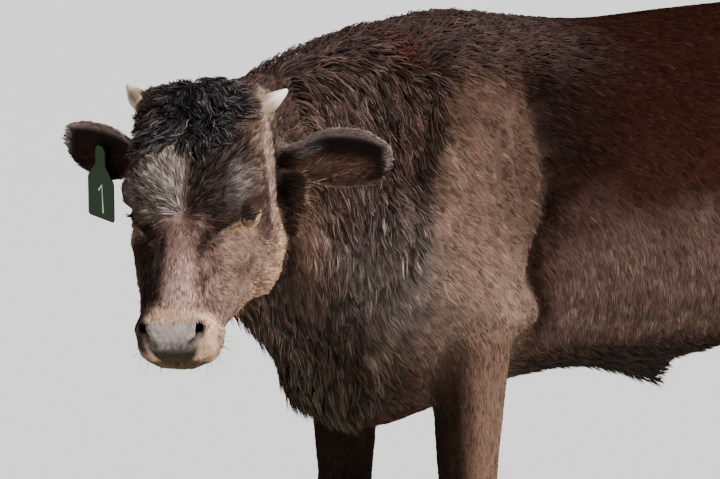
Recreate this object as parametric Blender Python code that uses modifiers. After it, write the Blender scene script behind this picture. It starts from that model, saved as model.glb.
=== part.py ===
"""A young horned steer standing still, life size, as a museum would show it.

Metres, +Z up. The animal faces -X, its left side is -Y, and the floor is z = 0.
The flesh is modelled whole: lofts for trunk, neck, head, legs and tail, joined with
ellipsoids for the big muscles, then fused by a voxel remesh, smoothed and thinned out.
Thin discs part it into head, neck, trunk, tail and leg pieces. Eyes, horns, ears, claws
and the ear tag are made on their own and sit in pockets cut for them. Every outline is
the outline of the coat's tips.
"""

import math

import bmesh
import bpy
import numpy as np
from mathutils import Matrix, Vector

# ---------------------------------------------------------------- driving dimensions
WITHERS_HEIGHT = 1.155
CHEST_FLOOR = 0.515
BELLY_FLOOR = 0.568
CROUP_HEIGHT = 1.155
FORELEG_X = 0.146
FORELEG_Y = 0.148
HINDLEG_Y = 0.160
JOINT_GAP = 0.0004
POCKET_GAP = 0.0004

HEAD_POLL = Vector((-0.283, -0.037, 1.049))
HEAD_TURN = math.radians(37.6)
HEAD_DROP = math.radians(50.6)
HEAD_TILT = math.radians(4.4)

EYE_RADIUS = 0.0175
LID_GAP = {"left": 0.0050, "right": 0.0085}
HORN_LENGTH = 0.038
HORN_ROOT_RADIUS = 0.0140
EAR_LENGTH = 0.182
EAR_WIDTH = 0.102
EAR_THICKNESS = 0.011
EAR_SLIT = Vector((0.019, 0.0065, 0.060))
TAG_WIDTH = 0.063
TAG_DROP = 0.103
TAG_THICKNESS = 0.0018
TAG_STAND_OFF = 0.0225
TAG_STUD_BACK = 0.0095

FLESH_VOXEL = 0.0075
FLESH_TRIANGLES = 3500
DETAIL_HOLD = 0.006

SIDES = {"left": -1.0, "right": 1.0}

# ---------------------------------------------------------------- scene and materials


def clear_scene():
    for obj in list(bpy.data.objects):
        bpy.data.objects.remove(obj)


def new_collection(name, hidden=False):
    made = bpy.data.collections.new(name)
    bpy.context.scene.collection.children.link(made)
    made.hide_render = hidden
    return made


def finish(name, colour, roughness, metallic=0.0):
    """A plain Principled material."""
    made = bpy.data.materials.new(name)
    made.use_nodes = True
    shader = made.node_tree.nodes["Principled BSDF"]
    shader.inputs["Base Color"].default_value = (*colour, 1.0)
    shader.inputs["Roughness"].default_value = roughness
    shader.inputs["Metallic"].default_value = metallic
    return made


def link(collection, name, mesh, material=None):
    obj = bpy.data.objects.new(name, mesh)
    collection.objects.link(obj)
    if material is not None:
        mesh.materials.clear()
        mesh.materials.append(material)
    return obj


def smooth_shading(obj, sharp_degrees=40.0):
    obj.data.shade_smooth()
    obj.data.set_sharp_from_angle(angle=math.radians(sharp_degrees))


# ---------------------------------------------------------------- lofts and ellipsoids


def through(rows, steps):
    """Catmull-Rom rows through the given rows, steps between each two."""
    table = np.array(rows, float)
    ends = np.vstack([2 * table[0] - table[1], table, 2 * table[-1] - table[-2]])
    made = []
    for i in range(1, len(ends) - 2):
        before, start, stop, after = ends[i - 1 : i + 3]
        for k in range(steps):
            t = k / steps
            made.append(
                0.5
                * (
                    2 * start
                    + (stop - before) * t
                    + (2 * before - 5 * start + 4 * stop - after) * t**2
                    + (3 * start - before - 3 * stop + after) * t**3
                )
            )
    made.append(table[-1])
    return np.array(made)


def rounded(cosine, power):
    """One coordinate of a superellipse: power 2 is round, higher is boxier."""
    return np.sign(cosine) * np.abs(cosine) ** (2.0 / power)


def ring_of(centre, across, upward, wide, up, down, top_power, low_power, count):
    """A closed ring: half width wide along across, reaching up and down along upward."""
    angle = 2 * math.pi * (np.arange(count) + 0.5) / count
    sine = np.sin(angle)
    power = np.where(sine > 0, top_power, low_power)
    out = wide * rounded(np.cos(angle), power)
    rise = np.where(sine > 0, up, down) * rounded(sine, power)
    return np.array(centre) + np.outer(out, across) + np.outer(rise, upward)


def skin_rings(name, rings, collection):
    """A closed solid over a row of rings with equal point counts."""
    shape = bmesh.new()
    made = [[shape.verts.new(p) for p in ring] for ring in rings]
    count = len(made[0])
    for near, far in zip(made, made[1:]):
        for i in range(count):
            j = (i + 1) % count
            shape.faces.new((near[i], near[j], far[j], far[i]))
    for ring in (made[0], made[-1]):
        middle = sum((v.co for v in ring), Vector()) / count
        hub = shape.verts.new(middle)
        for i in range(count):
            shape.faces.new((ring[i], ring[(i + 1) % count], hub))
    bmesh.ops.recalc_face_normals(shape, faces=shape.faces)
    mesh = bpy.data.meshes.new(name)
    shape.to_mesh(mesh)
    shape.free()
    return link(collection, name, mesh)


def ellipsoid(name, centre, radii, collection, lean=0.0, turn=0.0):
    """A muscle: lean tips it about Y, turn about Z, both in degrees."""
    shape = bmesh.new()
    bmesh.ops.create_uvsphere(shape, u_segments=24, v_segments=16, radius=1.0)
    place = (
        Matrix.Translation(centre)
        @ Matrix.Rotation(math.radians(turn), 4, "Z")
        @ Matrix.Rotation(math.radians(lean), 4, "Y")
        @ Matrix.Diagonal((*radii, 1.0))
    )
    bmesh.ops.transform(shape, matrix=place, verts=shape.verts)
    mesh = bpy.data.meshes.new(name)
    shape.to_mesh(mesh)
    shape.free()
    return link(collection, name, mesh)


# ---------------------------------------------------------------- head frame


def head_matrix():
    """Takes head coordinates (along the face, to its left, out of the forehead) to the world."""
    along = Vector(
        (
            -math.cos(HEAD_TURN) * math.cos(HEAD_DROP),
            -math.sin(HEAD_TURN) * math.cos(HEAD_DROP),
            -math.sin(HEAD_DROP),
        )
    )
    left = Vector((math.sin(HEAD_TURN), -math.cos(HEAD_TURN), 0.0))
    out = left.cross(along) * -1.0
    left = Matrix.Rotation(HEAD_TILT, 3, along) @ left
    out = Matrix.Rotation(HEAD_TILT, 3, along) @ out
    made = Matrix((along, left, out)).transposed().to_4x4()
    made.translation = HEAD_POLL
    return made


HEAD = head_matrix()


def on_head(along, left, out):
    return HEAD @ Vector((along, left, out))


# ---------------------------------------------------------------- trunk and neck


def add_trunk(flesh):
    """Cross sections from breast to buttock: x, top, floor, half width, powers above and below."""
    stations = [
        # x, top z, floor z, half width, widest at (share of the height), powers
        (-0.070, 0.780, 0.620, 0.050, 0.50, 2.0, 2.0),
        (-0.040, 0.900, 0.570, 0.095, 0.45, 2.0, 2.0),
        (0.000, 1.010, 0.530, 0.135, 0.45, 2.0, 2.0),
        (0.060, 1.100, CHEST_FLOOR - 0.008, 0.172, 0.50, 1.9, 1.8),
        (0.150, 1.147, CHEST_FLOOR, 0.188, 0.52, 1.9, 1.9),
        (0.240, WITHERS_HEIGHT, 0.535, 0.200, 0.52, 1.85, 2.0),
        (0.340, WITHERS_HEIGHT - 0.010, 0.560, 0.220, 0.50, 1.9, 2.0),
        (0.450, WITHERS_HEIGHT - 0.014, BELLY_FLOOR, 0.244, 0.47, 1.95, 2.1),
        (0.580, WITHERS_HEIGHT - 0.013, BELLY_FLOOR - 0.004, 0.268, 0.45, 2.0, 2.1),
        (0.710, CROUP_HEIGHT - 0.006, BELLY_FLOOR, 0.278, 0.45, 2.1, 2.1),
        (0.830, CROUP_HEIGHT, 0.588, 0.268, 0.47, 2.2, 2.1),
        (0.940, CROUP_HEIGHT + 0.003, 0.632, 0.246, 0.52, 2.3, 2.1),
        (1.040, CROUP_HEIGHT, 0.700, 0.222, 0.55, 2.3, 2.0),
        (1.130, CROUP_HEIGHT - 0.014, 0.760, 0.196, 0.58, 2.1, 2.0),
        (1.205, CROUP_HEIGHT - 0.052, 0.800, 0.150, 0.60, 2.0, 2.0),
        (1.250, CROUP_HEIGHT - 0.105, 0.850, 0.090, 0.60, 2.0, 2.0),
    ]
    rings = []
    for x, top, floor, wide, share, above, below in through(stations, 4):
        middle = floor + share * (top - floor)
        rings.append(
            ring_of(
                (x, 0, middle), (0, 1, 0), (0, 0, 1),
                wide, top - middle, middle - floor, above, below, 32,
            )
        )
    skin_rings("trunk_form", rings, flesh)


def add_neck(flesh):
    """Sections from the chest to the poll, each standing square to the neck's own line."""
    stations = [
        # x, y, top z, floor z, half width, yaw of the section in degrees
        (0.180, 0.000, 1.140, 0.600, 0.176, 0),
        (0.080, 0.000, 1.145, 0.590, 0.162, 0),
        (0.000, 0.002, 1.127, 0.605, 0.142, 2),
        (-0.075, 0.006, 1.105, 0.650, 0.124, 6),
        (-0.140, 0.010, 1.080, 0.700, 0.110, 14),
        (-0.195, 0.006, 1.055, 0.755, 0.100, 24),
        (-0.235, -0.004, 1.034, 0.810, 0.090, 32),
    ]
    rings = []
    for x, y, top, floor, wide, yaw in through(stations, 5):
        middle = floor + 0.52 * (top - floor)
        turn = math.radians(yaw)
        across = (math.sin(turn), -math.cos(turn), 0.0)
        rings.append(
            ring_of(
                (x, y, middle), across, (0, 0, 1),
                wide, top - middle, middle - floor, 1.75, 1.8, 24,
            )
        )
    skin_rings("neck_form", rings, flesh)


def add_dewlap(flesh):
    """The loose fold from the throat down to the brisket."""
    stations = [
        # x, y, lowest z, height of the fold, half thickness
        (-0.205, 0.004, 0.712, 0.090, 0.030),
        (-0.170, 0.005, 0.682, 0.110, 0.030),
        (-0.130, 0.003, 0.645, 0.130, 0.032),
        (-0.090, 0.002, 0.596, 0.150, 0.040),
        (-0.045, 0.000, 0.550, 0.160, 0.050),
        (0.000, 0.000, 0.516, 0.150, 0.066),
        (0.070, 0.000, 0.502, 0.130, 0.080),
        (0.140, 0.000, 0.512, 0.110, 0.070),
        (0.200, 0.000, 0.530, 0.080, 0.050),
    ]
    rings = []
    for x, y, low, height, thick in through(stations, 4):
        rings.append(
            ring_of(
                (x, y, low + height / 2), (0, 1, 0), (0, 0, 1),
                thick, height / 2, height / 2, 2.0, 2.2, 16,
            )
        )
    skin_rings("dewlap_form", rings, flesh)


def add_sheath(flesh):
    """The prepuce under the belly, with its tuft of hair at the tip."""
    stations = [
        # x, lowest z, half width
        (0.520, 0.560, 0.030),
        (0.600, 0.549, 0.034),
        (0.655, 0.528, 0.034),
        (0.690, 0.511, 0.028),
        (0.722, 0.526, 0.020),
    ]
    rings = []
    for x, low, thick in through(stations, 4):
        top = 0.640
        rings.append(
            ring_of(
                (x, 0, (low + top) / 2), (0, 1, 0), (0, 0, 1),
                thick, (top - low) / 2, (top - low) / 2, 2.0, 2.0, 12,
            )
        )
    skin_rings("sheath_form", rings, flesh)


def add_muscles(flesh):
    """The big forms that show under the coat, in left and right pairs."""
    pairs = {
        # name: x, y, z, radii, lean and turn in degrees
        "shoulder_blade": (0.125, 0.098, 0.915, (0.105, 0.090, 0.200), 12, 0),
        "blade_rear": (0.178, 0.104, 0.905, (0.085, 0.095, 0.200), 4, 0),
        "shoulder_point": (0.045, 0.120, 0.790, (0.080, 0.078, 0.120), 0, 0),
        "upper_arm": (0.125, 0.146, 0.750, (0.110, 0.064, 0.110), 14, 0),
        "long_triceps": (0.185, 0.148, 0.800, (0.088, 0.065, 0.130), 16, 0),
        "elbow_point": (0.230, 0.170, 0.702, (0.042, 0.038, 0.045), 0, 0),
        "breast": (0.000, 0.055, 0.630, (0.062, 0.066, 0.100), 0, 0),
        "hip_bone": (0.925, 0.165, 1.060, (0.060, 0.052, 0.040), 0, 0),
        "rump": (1.080, 0.105, 1.010, (0.150, 0.100, 0.125), -12, 0),
        "thigh": (1.065, 0.135, 0.870, (0.165, 0.092, 0.190), 8, 0),
        "buttock": (1.185, 0.092, 0.900, (0.080, 0.070, 0.165), 4, 0),
        "stifle": (0.955, 0.178, 0.725, (0.085, 0.060, 0.115), 12, 0),
        "pin_bone": (1.225, 0.080, 1.025, (0.042, 0.036, 0.036), 0, 0),
        "jaw_root": (-0.185, 0.000, 0.840, (0.040, 0.070, 0.070), 0, 0),
    }
    for name, (x, y, z, radii, lean, turn) in pairs.items():
        for label, side in SIDES.items():
            ellipsoid(f"{name}_{label}", (x, side * y, z), radii, flesh, lean, side * turn)


# ---------------------------------------------------------------- legs and tail


def add_limb(name, stations, side, flesh):
    """A leg from level slices: x, y, z, reach forward, reach back, half width, power."""
    rings = []
    for x, y, z, front, back, wide, power in through(stations, 4):
        rings.append(
            ring_of(
                (x, side * y, z), (0, 1, 0), (-1, 0, 0),
                wide, front, back, power, power, 20,
            )
        )
    skin_rings(name, rings, flesh)


FORE_SHIFT = {"left": 0.0, "right": 0.008}


def foreleg_stations(shift):
    """shift moves the whole leg along x."""
    x, y = FORELEG_X + shift, FORELEG_Y
    return [
        (x - 0.010, y + 0.004, 0.800, 0.090, 0.095, 0.052, 2.1),
        (x - 0.004, y + 0.006, 0.720, 0.085, 0.090, 0.058, 2.1),
        (x, y + 0.004, 0.650, 0.075, 0.078, 0.058, 2.1),
        (x + 0.002, y + 0.001, 0.570, 0.067, 0.068, 0.054, 2.1),
        (x + 0.002, y, 0.490, 0.060, 0.059, 0.049, 2.1),
        (x + 0.002, y, 0.420, 0.052, 0.051, 0.045, 2.1),
        (x, y, 0.370, 0.052, 0.048, 0.046, 2.3),
        (x, y, 0.335, 0.053, 0.048, 0.047, 2.3),
        (x + 0.002, y, 0.295, 0.042, 0.041, 0.040, 2.2),
        (x + 0.004, y, 0.245, 0.034, 0.037, 0.035, 2.1),
        (x + 0.004, y, 0.195, 0.034, 0.038, 0.036, 2.1),
        (x + 0.002, y, 0.150, 0.041, 0.046, 0.044, 2.2),
        (x - 0.006, y, 0.118, 0.039, 0.043, 0.043, 2.2),
        (x - 0.018, y, 0.085, 0.041, 0.043, 0.043, 2.2),
        (x - 0.028, y, 0.058, 0.048, 0.047, 0.048, 2.3),
        (x - 0.034, y, 0.030, 0.048, 0.044, 0.047, 2.3),
    ]


def hindleg_stations(shift):
    """shift moves the foot along x, so that the hind feet don't stand level."""
    y = HINDLEG_Y
    return [
        (1.055, y - 0.030, 0.940, 0.150, 0.130, 0.070, 2.0),
        (1.048, y - 0.018, 0.850, 0.150, 0.140, 0.082, 2.0),
        (1.040, y - 0.004, 0.760, 0.140, 0.135, 0.080, 2.0),
        (1.045 + 0.20 * shift, y + 0.006, 0.680, 0.120, 0.115, 0.072, 2.0),
        (1.075 + 0.40 * shift, y + 0.006, 0.610, 0.090, 0.085, 0.060, 2.0),
        (1.118 + 0.70 * shift, y + 0.002, 0.545, 0.063, 0.062, 0.048, 2.0),
        (1.152 + 0.90 * shift, y, 0.495, 0.053, 0.058, 0.043, 2.1),
        (1.162 + shift, y, 0.455, 0.055, 0.062, 0.045, 2.2),
        (1.162 + shift, y, 0.415, 0.053, 0.055, 0.044, 2.2),
        (1.158 + shift, y - 0.001, 0.365, 0.042, 0.044, 0.038, 2.1),
        (1.150 + shift, y - 0.002, 0.300, 0.036, 0.039, 0.035, 2.1),
        (1.142 + shift, y - 0.003, 0.225, 0.036, 0.039, 0.036, 2.1),
        (1.136 + shift, y - 0.003, 0.165, 0.042, 0.047, 0.044, 2.2),
        (1.124 + shift, y - 0.003, 0.125, 0.040, 0.044, 0.043, 2.2),
        (1.110 + shift, y - 0.003, 0.088, 0.041, 0.043, 0.043, 2.2),
        (1.098 + shift, y - 0.003, 0.058, 0.048, 0.047, 0.047, 2.3),
        (1.092 + shift, y - 0.003, 0.030, 0.048, 0.044, 0.046, 2.3),
    ]


HIND_SHIFT = {"left": 0.030, "right": -0.045}


def foot_centre(pair, label):
    """Where the middle of a foot stands on the floor."""
    if pair == "foreleg":
        return FORELEG_X + FORE_SHIFT[label] - 0.034, SIDES[label] * FORELEG_Y
    return 1.092 + HIND_SHIFT[label], SIDES[label] * (HINDLEG_Y - 0.003)


def add_legs(flesh):
    for label, side in SIDES.items():
        add_limb(f"foreleg_form_{label}", foreleg_stations(FORE_SHIFT[label]), side, flesh)
        add_limb(f"hindleg_form_{label}", hindleg_stations(HIND_SHIFT[label]), side, flesh)


TAIL_LINE = [
    # x, z, radius
    (1.130, 1.110, 0.045),
    (1.200, 1.098, 0.040),
    (1.255, 1.062, 0.034),
    (1.292, 1.010, 0.029),
    (1.313, 0.940, 0.025),
    (1.319, 0.850, 0.022),
    (1.319, 0.760, 0.020),
    (1.316, 0.670, 0.019),
    (1.313, 0.610, 0.026),
    (1.309, 0.540, 0.037),
    (1.306, 0.465, 0.041),
    (1.306, 0.400, 0.034),
    (1.308, 0.345, 0.021),
    (1.309, 0.310, 0.011),
]


def tail_rings(line, sides, steps):
    rows = through(line, steps)
    rings = []
    for i, (x, z, radius) in enumerate(rows):
        near, far = rows[max(i - 1, 0)], rows[min(i + 1, len(rows) - 1)]
        run = Vector((far[0] - near[0], 0, far[1] - near[1])).normalized()
        outward = Vector((0, 1, 0)).cross(run)
        rings.append(
            ring_of((x, 0, z), (0, 1, 0), outward, radius, radius, radius, 2, 2, sides)
        )
    return rings


# ---------------------------------------------------------------- head


def add_head(flesh):
    """Sections along the face, from behind the poll to the front of the muzzle."""
    stations = [
        # along, top, bottom, half width, widest at, powers above and below
        (-0.036, -0.030, -0.095, 0.060, -0.060, 2.4, 2.0),
        (-0.020, 0.000, -0.130, 0.090, -0.060, 2.8, 2.0),
        (0.012, 0.013, -0.170, 0.104, -0.056, 3.6, 2.0),
        (0.060, 0.011, -0.215, 0.104, -0.052, 3.8, 2.2),
        (0.105, 0.005, -0.240, 0.102, -0.054, 3.4, 2.4),
        (0.150, -0.001, -0.250, 0.102, -0.058, 3.0, 2.5),
        (0.195, -0.009, -0.246, 0.093, -0.070, 2.5, 2.4),
        (0.240, -0.016, -0.224, 0.088, -0.080, 2.3, 2.3),
        (0.285, -0.022, -0.190, 0.077, -0.086, 2.2, 2.3),
        (0.325, -0.029, -0.161, 0.065, -0.088, 2.3, 2.3),
        (0.352, -0.036, -0.148, 0.061, -0.086, 2.5, 2.4),
        (0.377, -0.046, -0.142, 0.064, -0.090, 2.6, 2.4),
        (0.397, -0.068, -0.134, 0.057, -0.098, 2.4, 2.3),
        (0.408, -0.084, -0.122, 0.040, -0.102, 2.2, 2.1),
    ]
    rings = []
    for along, top, bottom, wide, level, above, below in through(stations, 4):
        ring = ring_of(
            (0, 0, level), (0, 1, 0), (0, 0, 1),
            wide, top - level, level - bottom, above, below, 32,
        )
        rings.append([on_head(along, p[1], p[2]) for p in ring])
    skin_rings("head_form", rings, flesh)
    forms = {
        # name: along, left, out, radii in head axes
        "brow": (0.150, 0.080, -0.038, (0.038, 0.030, 0.032)),
        "eye_socket": (0.180, 0.073, -0.056, (0.032, 0.024, 0.030)),
        "cheek": (0.165, 0.066, -0.165, (0.080, 0.038, 0.078)),
        "jaw_corner": (0.130, 0.060, -0.205, (0.055, 0.038, 0.046)),
        "poll_corner": (0.008, 0.078, -0.026, (0.036, 0.030, 0.036)),
        "nostril_wing": (0.372, 0.040, -0.068, (0.030, 0.021, 0.026)),
        "lip_side": (0.368, 0.037, -0.106, (0.036, 0.027, 0.028)),
    }
    for name, (along, left, out, radii) in forms.items():
        for label, side in SIDES.items():
            ball = ellipsoid(f"{name}_{label}", (along, -side * left, out), radii, flesh)
            ball.data.transform(HEAD)
    topknot = ellipsoid("topknot", (0.012, 0, 0.002), (0.045, 0.078, 0.022), flesh)
    topknot.data.transform(HEAD)


def eye_axes(label):
    """Centre of the eyeball in head axes, the way it looks and the run of the gap between lids."""
    side = -SIDES[label]
    look = Vector((0.42, 0.85 * side, 0.30)).normalized()
    corner = Vector((0.190, 0.0905 * side, -0.054))
    run = Vector((-0.72, 0.62 * side, -0.20))
    run = (run - run.dot(look) * look).normalized()
    return corner - look * EYE_RADIUS, look, run


def make_eye(label, parts, material):
    shape = bmesh.new()
    bmesh.ops.create_uvsphere(shape, u_segments=14, v_segments=9, radius=EYE_RADIUS)
    mesh = bpy.data.meshes.new(f"eye_{label}")
    shape.to_mesh(mesh)
    shape.free()
    centre, _, _ = eye_axes(label)
    mesh.transform(Matrix.Translation(HEAD @ centre))
    eye = link(parts, f"eye_{label}", mesh, material)
    smooth_shading(eye)
    return eye


def lid_opening(label, cutters):
    """The gap between the lids: open on the right, half shut on the left."""
    centre, look, run = eye_axes(label)
    across = look.cross(run).normalized()
    shape = bmesh.new()
    bmesh.ops.create_uvsphere(shape, u_segments=12, v_segments=8, radius=1.0)
    axes = Matrix((run * 0.0170, across * LID_GAP[label], look * 0.016))
    place = axes.transposed().to_4x4()
    place.translation = centre + look * (EYE_RADIUS + 0.002)
    bmesh.ops.transform(shape, matrix=HEAD @ place, verts=shape.verts)
    bmesh.ops.recalc_face_normals(shape, faces=shape.faces)
    mesh = bpy.data.meshes.new(f"lid_opening_{label}")
    shape.to_mesh(mesh)
    shape.free()
    return as_cutter(link(cutters, mesh.name, mesh))


def nostril_cutter(label, cutters):
    """The hollow of a nostril: an oval that opens forward and outward and slopes to the lip."""
    side = -SIDES[label]
    inward = Vector((-0.80, -0.25 * side, -0.30)).normalized()
    tall = Vector((0.52, -0.22 * side, -0.82))
    tall = (tall - tall.dot(inward) * inward).normalized()
    wide = inward.cross(tall).normalized()
    shape = bmesh.new()
    bmesh.ops.create_uvsphere(shape, u_segments=10, v_segments=6, radius=1.0)
    place = Matrix((wide * 0.0060, tall * 0.0135, inward * 0.0200)).transposed().to_4x4()
    place.translation = Vector((0.388, 0.0385 * side, -0.064))
    bmesh.ops.transform(shape, matrix=HEAD @ place, verts=shape.verts)
    bmesh.ops.recalc_face_normals(shape, faces=shape.faces)
    mesh = bpy.data.meshes.new(f"nostril_{label}")
    shape.to_mesh(mesh)
    shape.free()
    return as_cutter(link(cutters, mesh.name, mesh))


HORNS = {
    # root and direction in head axes
    "left": ((0.013, 0.095, -0.025), (-0.70, 0.64, -0.24)),
    "right": ((0.002, -0.099, -0.015), (-0.72, -0.62, -0.24)),
}


def make_horn(label, parts, material):
    """A short blunt bud of horn, curving a little towards the sky."""
    root, outward = (Vector(v) for v in HORNS[label])
    outward.normalize()
    skyward = Vector((-0.83, 0.0, 0.56))
    across = outward.cross(skyward).normalized()
    over = across.cross(outward).normalized()
    buried = 0.018
    rings = []
    for share in (0.0, 0.35, 0.6, 0.78, 0.9, 0.97, 1.0):
        reach = share * (HORN_LENGTH + buried) - buried
        lift = 0.006 * max(reach / HORN_LENGTH, 0.0) ** 2
        middle = root + outward * reach + over * lift
        radius = HORN_ROOT_RADIUS * math.sqrt(max(1.02 - share**3.2, 0.02))
        ring = ring_of(middle, across, over, radius, radius, radius, 2, 2, 12)
        rings.append([on_head(*p) for p in ring])
    horn = skin_rings(f"horn_{label}", rings, parts)
    horn.data.materials.append(material)
    smooth_shading(horn, 60)
    return horn


EARS = {
    # root in head axes, then the run of the ear and the way its bowl faces in world axes,
    # how far the upper and lower edges reach as shares of the half width, and how deep the
    # bowl is, as a share of a relaxed ear's
    "left": ((0.050, 0.086, -0.108), (0.757, -0.653, 0.040), (-0.625, -0.720, -0.255),
             (1.0, 1.0), 1.0),
    "right": ((0.055, -0.084, -0.112), (-0.215, 0.943, 0.253), (-0.967, -0.168, -0.193),
              (0.80, 1.06), 0.5),
}


def ear_frame(label):
    """Root, run, facing direction and the direction towards the ear's upper edge."""
    root, run, faces = (Vector(v) for v in EARS[label][:3])
    run.normalize()
    faces = (faces - faces.dot(run) * run).normalized()
    upper = run.cross(faces).normalized()
    if upper.z < 0:
        upper.negate()
    return HEAD @ root, run, faces, upper


def ear_profile(share):
    """Half width, depth of the back and depth of the bowl of the ear at a share of its length."""
    widening = 0.40 + 0.60 * step(share, 0.10, 0.52)
    tip = max(0.0, (share - 0.55) / 0.45)
    half = EAR_WIDTH / 2 * widening * math.sqrt(1.0 - tip**2.5)
    back = 0.026 * (1 - share) ** 0.7 + 0.010 * math.sin(math.pi * share) + 0.004
    opened = step(share, 0.20, 0.42)
    return half, back, opened


def make_ear(label, parts, material):
    """A leaf-shaped cup lofted from crescent sections, solid at its stalk."""
    root, run, faces, upper = ear_frame(label)
    reach_up, reach_down = EARS[label][3]
    hollow = EARS[label][4]
    half_count = 6
    shares = (0.0, 0.15, 0.25, 0.35, 0.46, 0.58, 0.70, 0.80, 0.89, 0.95, 0.985)
    rings = []
    for share in shares:
        half, back, opened = ear_profile(share)
        back *= hollow
        middle = root + run * (share * EAR_LENGTH) + faces * (0.014 * share**2)
        lip = min(EAR_THICKNESS * 0.55, 0.35 * half)
        bowl = max(back - EAR_THICKNESS, 0.0) * opened
        ring = []
        for k in range(half_count + 1):
            angle = math.pi * k / half_count
            reach = half * math.cos(angle) * (reach_up if 2 * k < half_count else reach_down)
            ring.append(middle + upper * reach - faces * (back * math.sin(angle)))
        for k in range(half_count, -1, -1):
            angle = math.pi * k / half_count
            reach = (half - lip) * math.cos(angle)
            reach *= reach_up if 2 * k < half_count else reach_down
            depth = bowl * math.sin(angle) - lip * 0.6
            ring.append(middle + upper * reach - faces * depth)
        rings.append(ring)
    ear = skin_rings(f"ear_{label}", rings, parts)
    ear.data.materials.append(material)
    smooth_shading(ear, 60)
    return ear


def ear_slit(cutters):
    """The old healed slit through the right ear, above the tag."""
    root, run, faces, upper = ear_frame("right")
    centre = root + run * (0.765 * EAR_LENGTH) - upper * 0.004
    shape = bmesh.new()
    bmesh.ops.create_cone(
        shape, cap_ends=True, segments=10, radius1=0.5, radius2=0.5, depth=1.0
    )
    lean = (run + upper * 0.12).normalized()
    over = faces.cross(lean).normalized()
    place = Matrix((lean * EAR_SLIT.x, over * EAR_SLIT.y, faces * EAR_SLIT.z)).transposed()
    place = place.to_4x4()
    place.translation = centre
    bmesh.ops.transform(shape, matrix=place, verts=shape.verts)
    bmesh.ops.recalc_face_normals(shape, faces=shape.faces)
    mesh = bpy.data.meshes.new("ear_slit")
    shape.to_mesh(mesh)
    shape.free()
    return as_cutter(link(cutters, "ear_slit", mesh))


# ---------------------------------------------------------------- claws


def coronet_plane(pair, label):
    """A point on the plane between hair and horn of a foot, and its upward normal."""
    x, y = foot_centre(pair, label)
    return Vector((x, y, 0.058)), Vector((0.24, 0, 1)).normalized()


def make_claw(pair, label, inner, parts, material):
    """One half of a cloven foot: a D-shaped hoof with a flat sole and a sloping toe."""
    x, y = foot_centre(pair, label)
    point, normal = coronet_plane(pair, label)
    side = SIDES[label] * (-1.0 if inner else 1.0)
    slot = 0.0030
    levels = [
        # height share, reach forward, reach back, width
        (0.00, 0.068, 0.048, 0.0455),
        (0.12, 0.069, 0.050, 0.0465),
        (0.60, 0.059, 0.051, 0.0460),
        (1.00, 0.050, 0.047, 0.0440),
    ]
    rings = []
    for share, front, back, wide in levels:
        ring = []
        for k in range(12):
            angle = 2 * math.pi * (k + 0.5) / 12
            forward = math.cos(angle)
            outward = math.sin(angle)
            dx = -(front if forward > 0 else back) * rounded(forward, 2.4)
            # the inner wall is flat, the outer wall round, and the toe turns inward
            swell = wide / 2 * (1 + rounded(outward, 2.6 if outward > 0 else 5.0))
            dy = swell * (1 - 0.22 * max(0.0, -dx / front) ** 2 * (1 if outward > 0 else 0))
            px, py = x + dx, y + side * (slot + dy)
            top = point.z - JOINT_GAP - (px - point.x) * normal.x / normal.z
            ring.append(Vector((px, py, share * top)))
        rings.append(ring)
    claw = skin_rings(f"{pair}_{label}_claw_{'inner' if inner else 'outer'}", rings, parts)
    claw.data.materials.append(material)
    smooth_shading(claw, 35)
    return claw


def make_dewclaw(pair, label, inner, parts, material):
    """A small blunt horn button behind the fetlock."""
    x, y = foot_centre(pair, label)
    shape = bmesh.new()
    bmesh.ops.create_uvsphere(shape, u_segments=7, v_segments=5, radius=1.0)
    side = SIDES[label] * (-1.0 if inner else 1.0)
    place = (
        Matrix.Translation((x + 0.074, y + side * 0.0215, 0.118))
        @ Matrix.Rotation(math.radians(-38), 4, "Y")
        @ Matrix.Diagonal((0.013, 0.0125, 0.019, 1.0))
    )
    bmesh.ops.transform(shape, matrix=place, verts=shape.verts)
    name = f"{pair}_{label}_dewclaw_{'inner' if inner else 'outer'}"
    mesh = bpy.data.meshes.new(name)
    shape.to_mesh(mesh)
    shape.free()
    dewclaw = link(parts, name, mesh, material)
    smooth_shading(dewclaw)
    return dewclaw


# ---------------------------------------------------------------- fusing and parting the flesh


def evaluated_mesh(obj):
    graph = bpy.context.evaluated_depsgraph_get()
    return bpy.data.meshes.new_from_object(obj.evaluated_get(graph))


def apply_modifiers(obj):
    mesh = evaluated_mesh(obj)
    obj.modifiers.clear()
    obj.data = mesh


def join(name, objects, collection):
    """One object holding the meshes of all of them, which it takes the place of."""
    shape = bmesh.new()
    for obj in objects:
        shape.from_mesh(obj.data)
    mesh = bpy.data.meshes.new(name)
    shape.to_mesh(mesh)
    shape.free()
    for obj in objects:
        bpy.data.objects.remove(obj)
    return link(collection, name, mesh)


def weigh(obj, name, weight_at):
    """A vertex group whose weight is a function of the vertex position."""
    group = obj.vertex_groups.new(name=name)
    for vertex in obj.data.vertices:
        weight = weight_at(vertex.co)
        if weight > 0.001:
            group.add([vertex.index], min(1.0, weight), "REPLACE")


def step(value, low, high):
    t = min(1.0, max(0.0, (value - low) / (high - low)))
    return t * t * (3 - 2 * t)


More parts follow.
